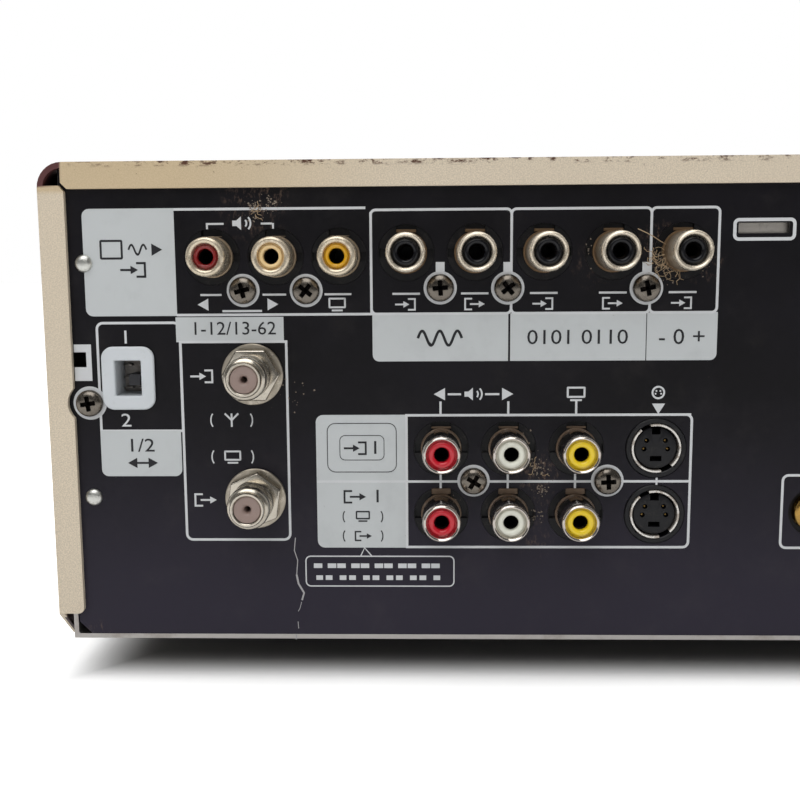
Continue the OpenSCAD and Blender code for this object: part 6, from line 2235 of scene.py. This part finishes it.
@dataclass
class Dirt:
    """Fluff, lint and scratches on the rear; places in mm from the lens's foot."""

    shop: Shop
    seed: int = 5
    clumps: tuple[tuple[float, float, float, int], ...] = (
        (-36.6, 12.3, 1.5, 7), (50.8, -0.4, 3.0, 22), (47.6, 1.0, 1.8, 8), (24.0, -43.5, 2.0, 4))
    trails: tuple[tuple[float, float, float, int], ...] = (
        (-36.6, 12.0, 2.6, 60), (-33.5, 14.0, 1.8, 26), (24.2, -44.0, 2.4, 44), (25.0, -49.0, 1.7, 26),
        (23.4, -54.5, 1.8, 22), (50.4, 0.2, 3.4, 50), (57.5, 0.5, 2.4, 20), (-29.5, -28.0, 6.0, 16),
        (5.5, -52.0, 3.0, 14), (36.0, 3.0, 3.0, 16), (20.0, -38.0, 6.0, 18))
    scratches: tuple[tuple[float, tuple[Point, ...]], ...] = (
        (0.2, ((-29.6, -59.6), (-29.9, -62.5), (-29.2, -64.8), (-29.5, -68.3))),
        (0.4, ((-29.5, -68.1), (-29.1, -70.2), (-27.9, -72.3), (-28.4, -74.0))),
        (0.14, ((-28.5, -74.4), (-28.9, -75.9), (-29.3, -76.6))),
        (0.16, ((-29.4, -79.0), (-29.3, -80.6))), (0.3, ((-29.8, -82.0), (-29.9, -83.2))))

    def build(self) -> None:
        """Strews the fluff and draws the scratches."""
        draw = random.Random(self.seed)
        strands = [self.strand([Vector((x, z, 0.3 + draw.uniform(0, 0.8)))
                                for x, z in self.curl(draw, cx, cz, size)], draw.uniform(0.035, 0.06))
                   for cx, cz, size, count in self.clumps for _ in range(count)]
        flecks = [self.fleck(draw, cx, cz, size) for cx, cz, size, count in self.trails
                  for _ in range(count)]
        hair = ((42.9, 7.4, 8.0), (44.6, 6.6, 8.2), (46.4, 5.8, 7.0), (48.4, 4.9, 4.6), (50.2, 4.3, 2.0))
        strands.append(self.strand([Vector(p) for p in hair], 0.08))
        brown = Rust("fluff_brown", tone(150, 122, 88), 0.8, tone(196, 176, 146))
        grey = Rust("fleck_grey", tone(112, 98, 86), 0.8, tone(150, 138, 124))
        for name, pieces, finish in (("fluff", strands, brown), ("flecks", flecks, grey)):
            settle(self.shop.laid(Bench.joined(name, pieces), self.shop.rear_at(0, 0)), finish)
        marks = Sheet("scratches", layer=1)
        for width, points in self.scratches:
            marks.stroke(points, width)
        marks.lay(self.shop, self.shop.rear_at(0, 0), Ink("scratch", tone(172, 170, 172), 0.6, 0.3))

    @staticmethod
    def curl(draw: random.Random, cx: float, cz: float, size: float) -> list[Point]:
        """A wandering chain of points.

        Args:
            draw: Source of its chances.
            cx: The place that it wanders round, to the right.
            cz: The place, upwards.
            size: How far it wanders, about.

        Returns:
            The points.
        """
        angle = draw.uniform(0, 2 * pi)
        x, z = cx + draw.gauss(0, size * 0.45), cz + draw.gauss(0, size * 0.35)
        points = [(x, z)]
        for _ in range(5):
            angle += draw.uniform(-1.1, 1.1)
            step = size * draw.uniform(0.15, 0.4)
            x, z = x + step * cos(angle), z + step * sin(angle)
            points.append((x, z))
        return points

    @staticmethod
    def fleck(draw: random.Random, cx: float, cz: float, size: float) -> Piece:
        """A crumb of dirt.

        Args:
            draw: Source of its chances.
            cx: The place that it lies near, to the right.
            cz: The place, upwards.
            size: How far from it, about.

        Returns:
            The crumb, flat in X and Y.
        """
        x, z = draw.gauss(cx, size * 0.5), draw.gauss(cz, size * 0.5)
        radius = draw.uniform(0.06, 0.24)
        outline = [(x + radius * draw.uniform(0.5, 1.2) * cos(radians(a)),
                    z + radius * draw.uniform(0.5, 1.2) * sin(radians(a)))
                   for a in range(0, 360, 60)]
        return Bench.plate("fleck", outline, 0.0, draw.uniform(0.05, 0.14), Turn.Z)

    @staticmethod
    def strand(points: Sequence[Vector], radius: float) -> Piece:
        """A thin fibre along points right, up and out, in mm.

        Args:
            points: The fibre's points.
            radius: Its radius.

        Returns:
            A closed tube.
        """
        Bench.trace([p * MM for p in points])
        fibre = Bench.close("fibre")
        skin = fibre.modifiers.new("skin", "SKIN")
        for vertex in fibre.data.skin_vertices[0].data:
            vertex.radius = (radius * MM, radius * MM)
        bpy.ops.object.modifier_apply(modifier=skin.name)
        return fibre


# ---------------- the whole machine


def main() -> None:
    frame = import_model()
    casing = Casing.measured()
    shop = Shop(casing, frame["nodes"])
    PhotoCamera().place(casing)
    Studio().build()
    for part in (Enclosure(shop), RearPrint(shop), Sockets(shop), ChannelSwitch(shop), FrontPanel(shop),
                 TapeDeck(shop, tuple(frame["bodies"])), Boards(shop), Dirt(shop)):
        LOG.info("building %s", type(part).__name__)
        part.build()


if __name__ == "__main__":
    logging.basicConfig(level=logging.INFO, format="%(message)s")
    main()
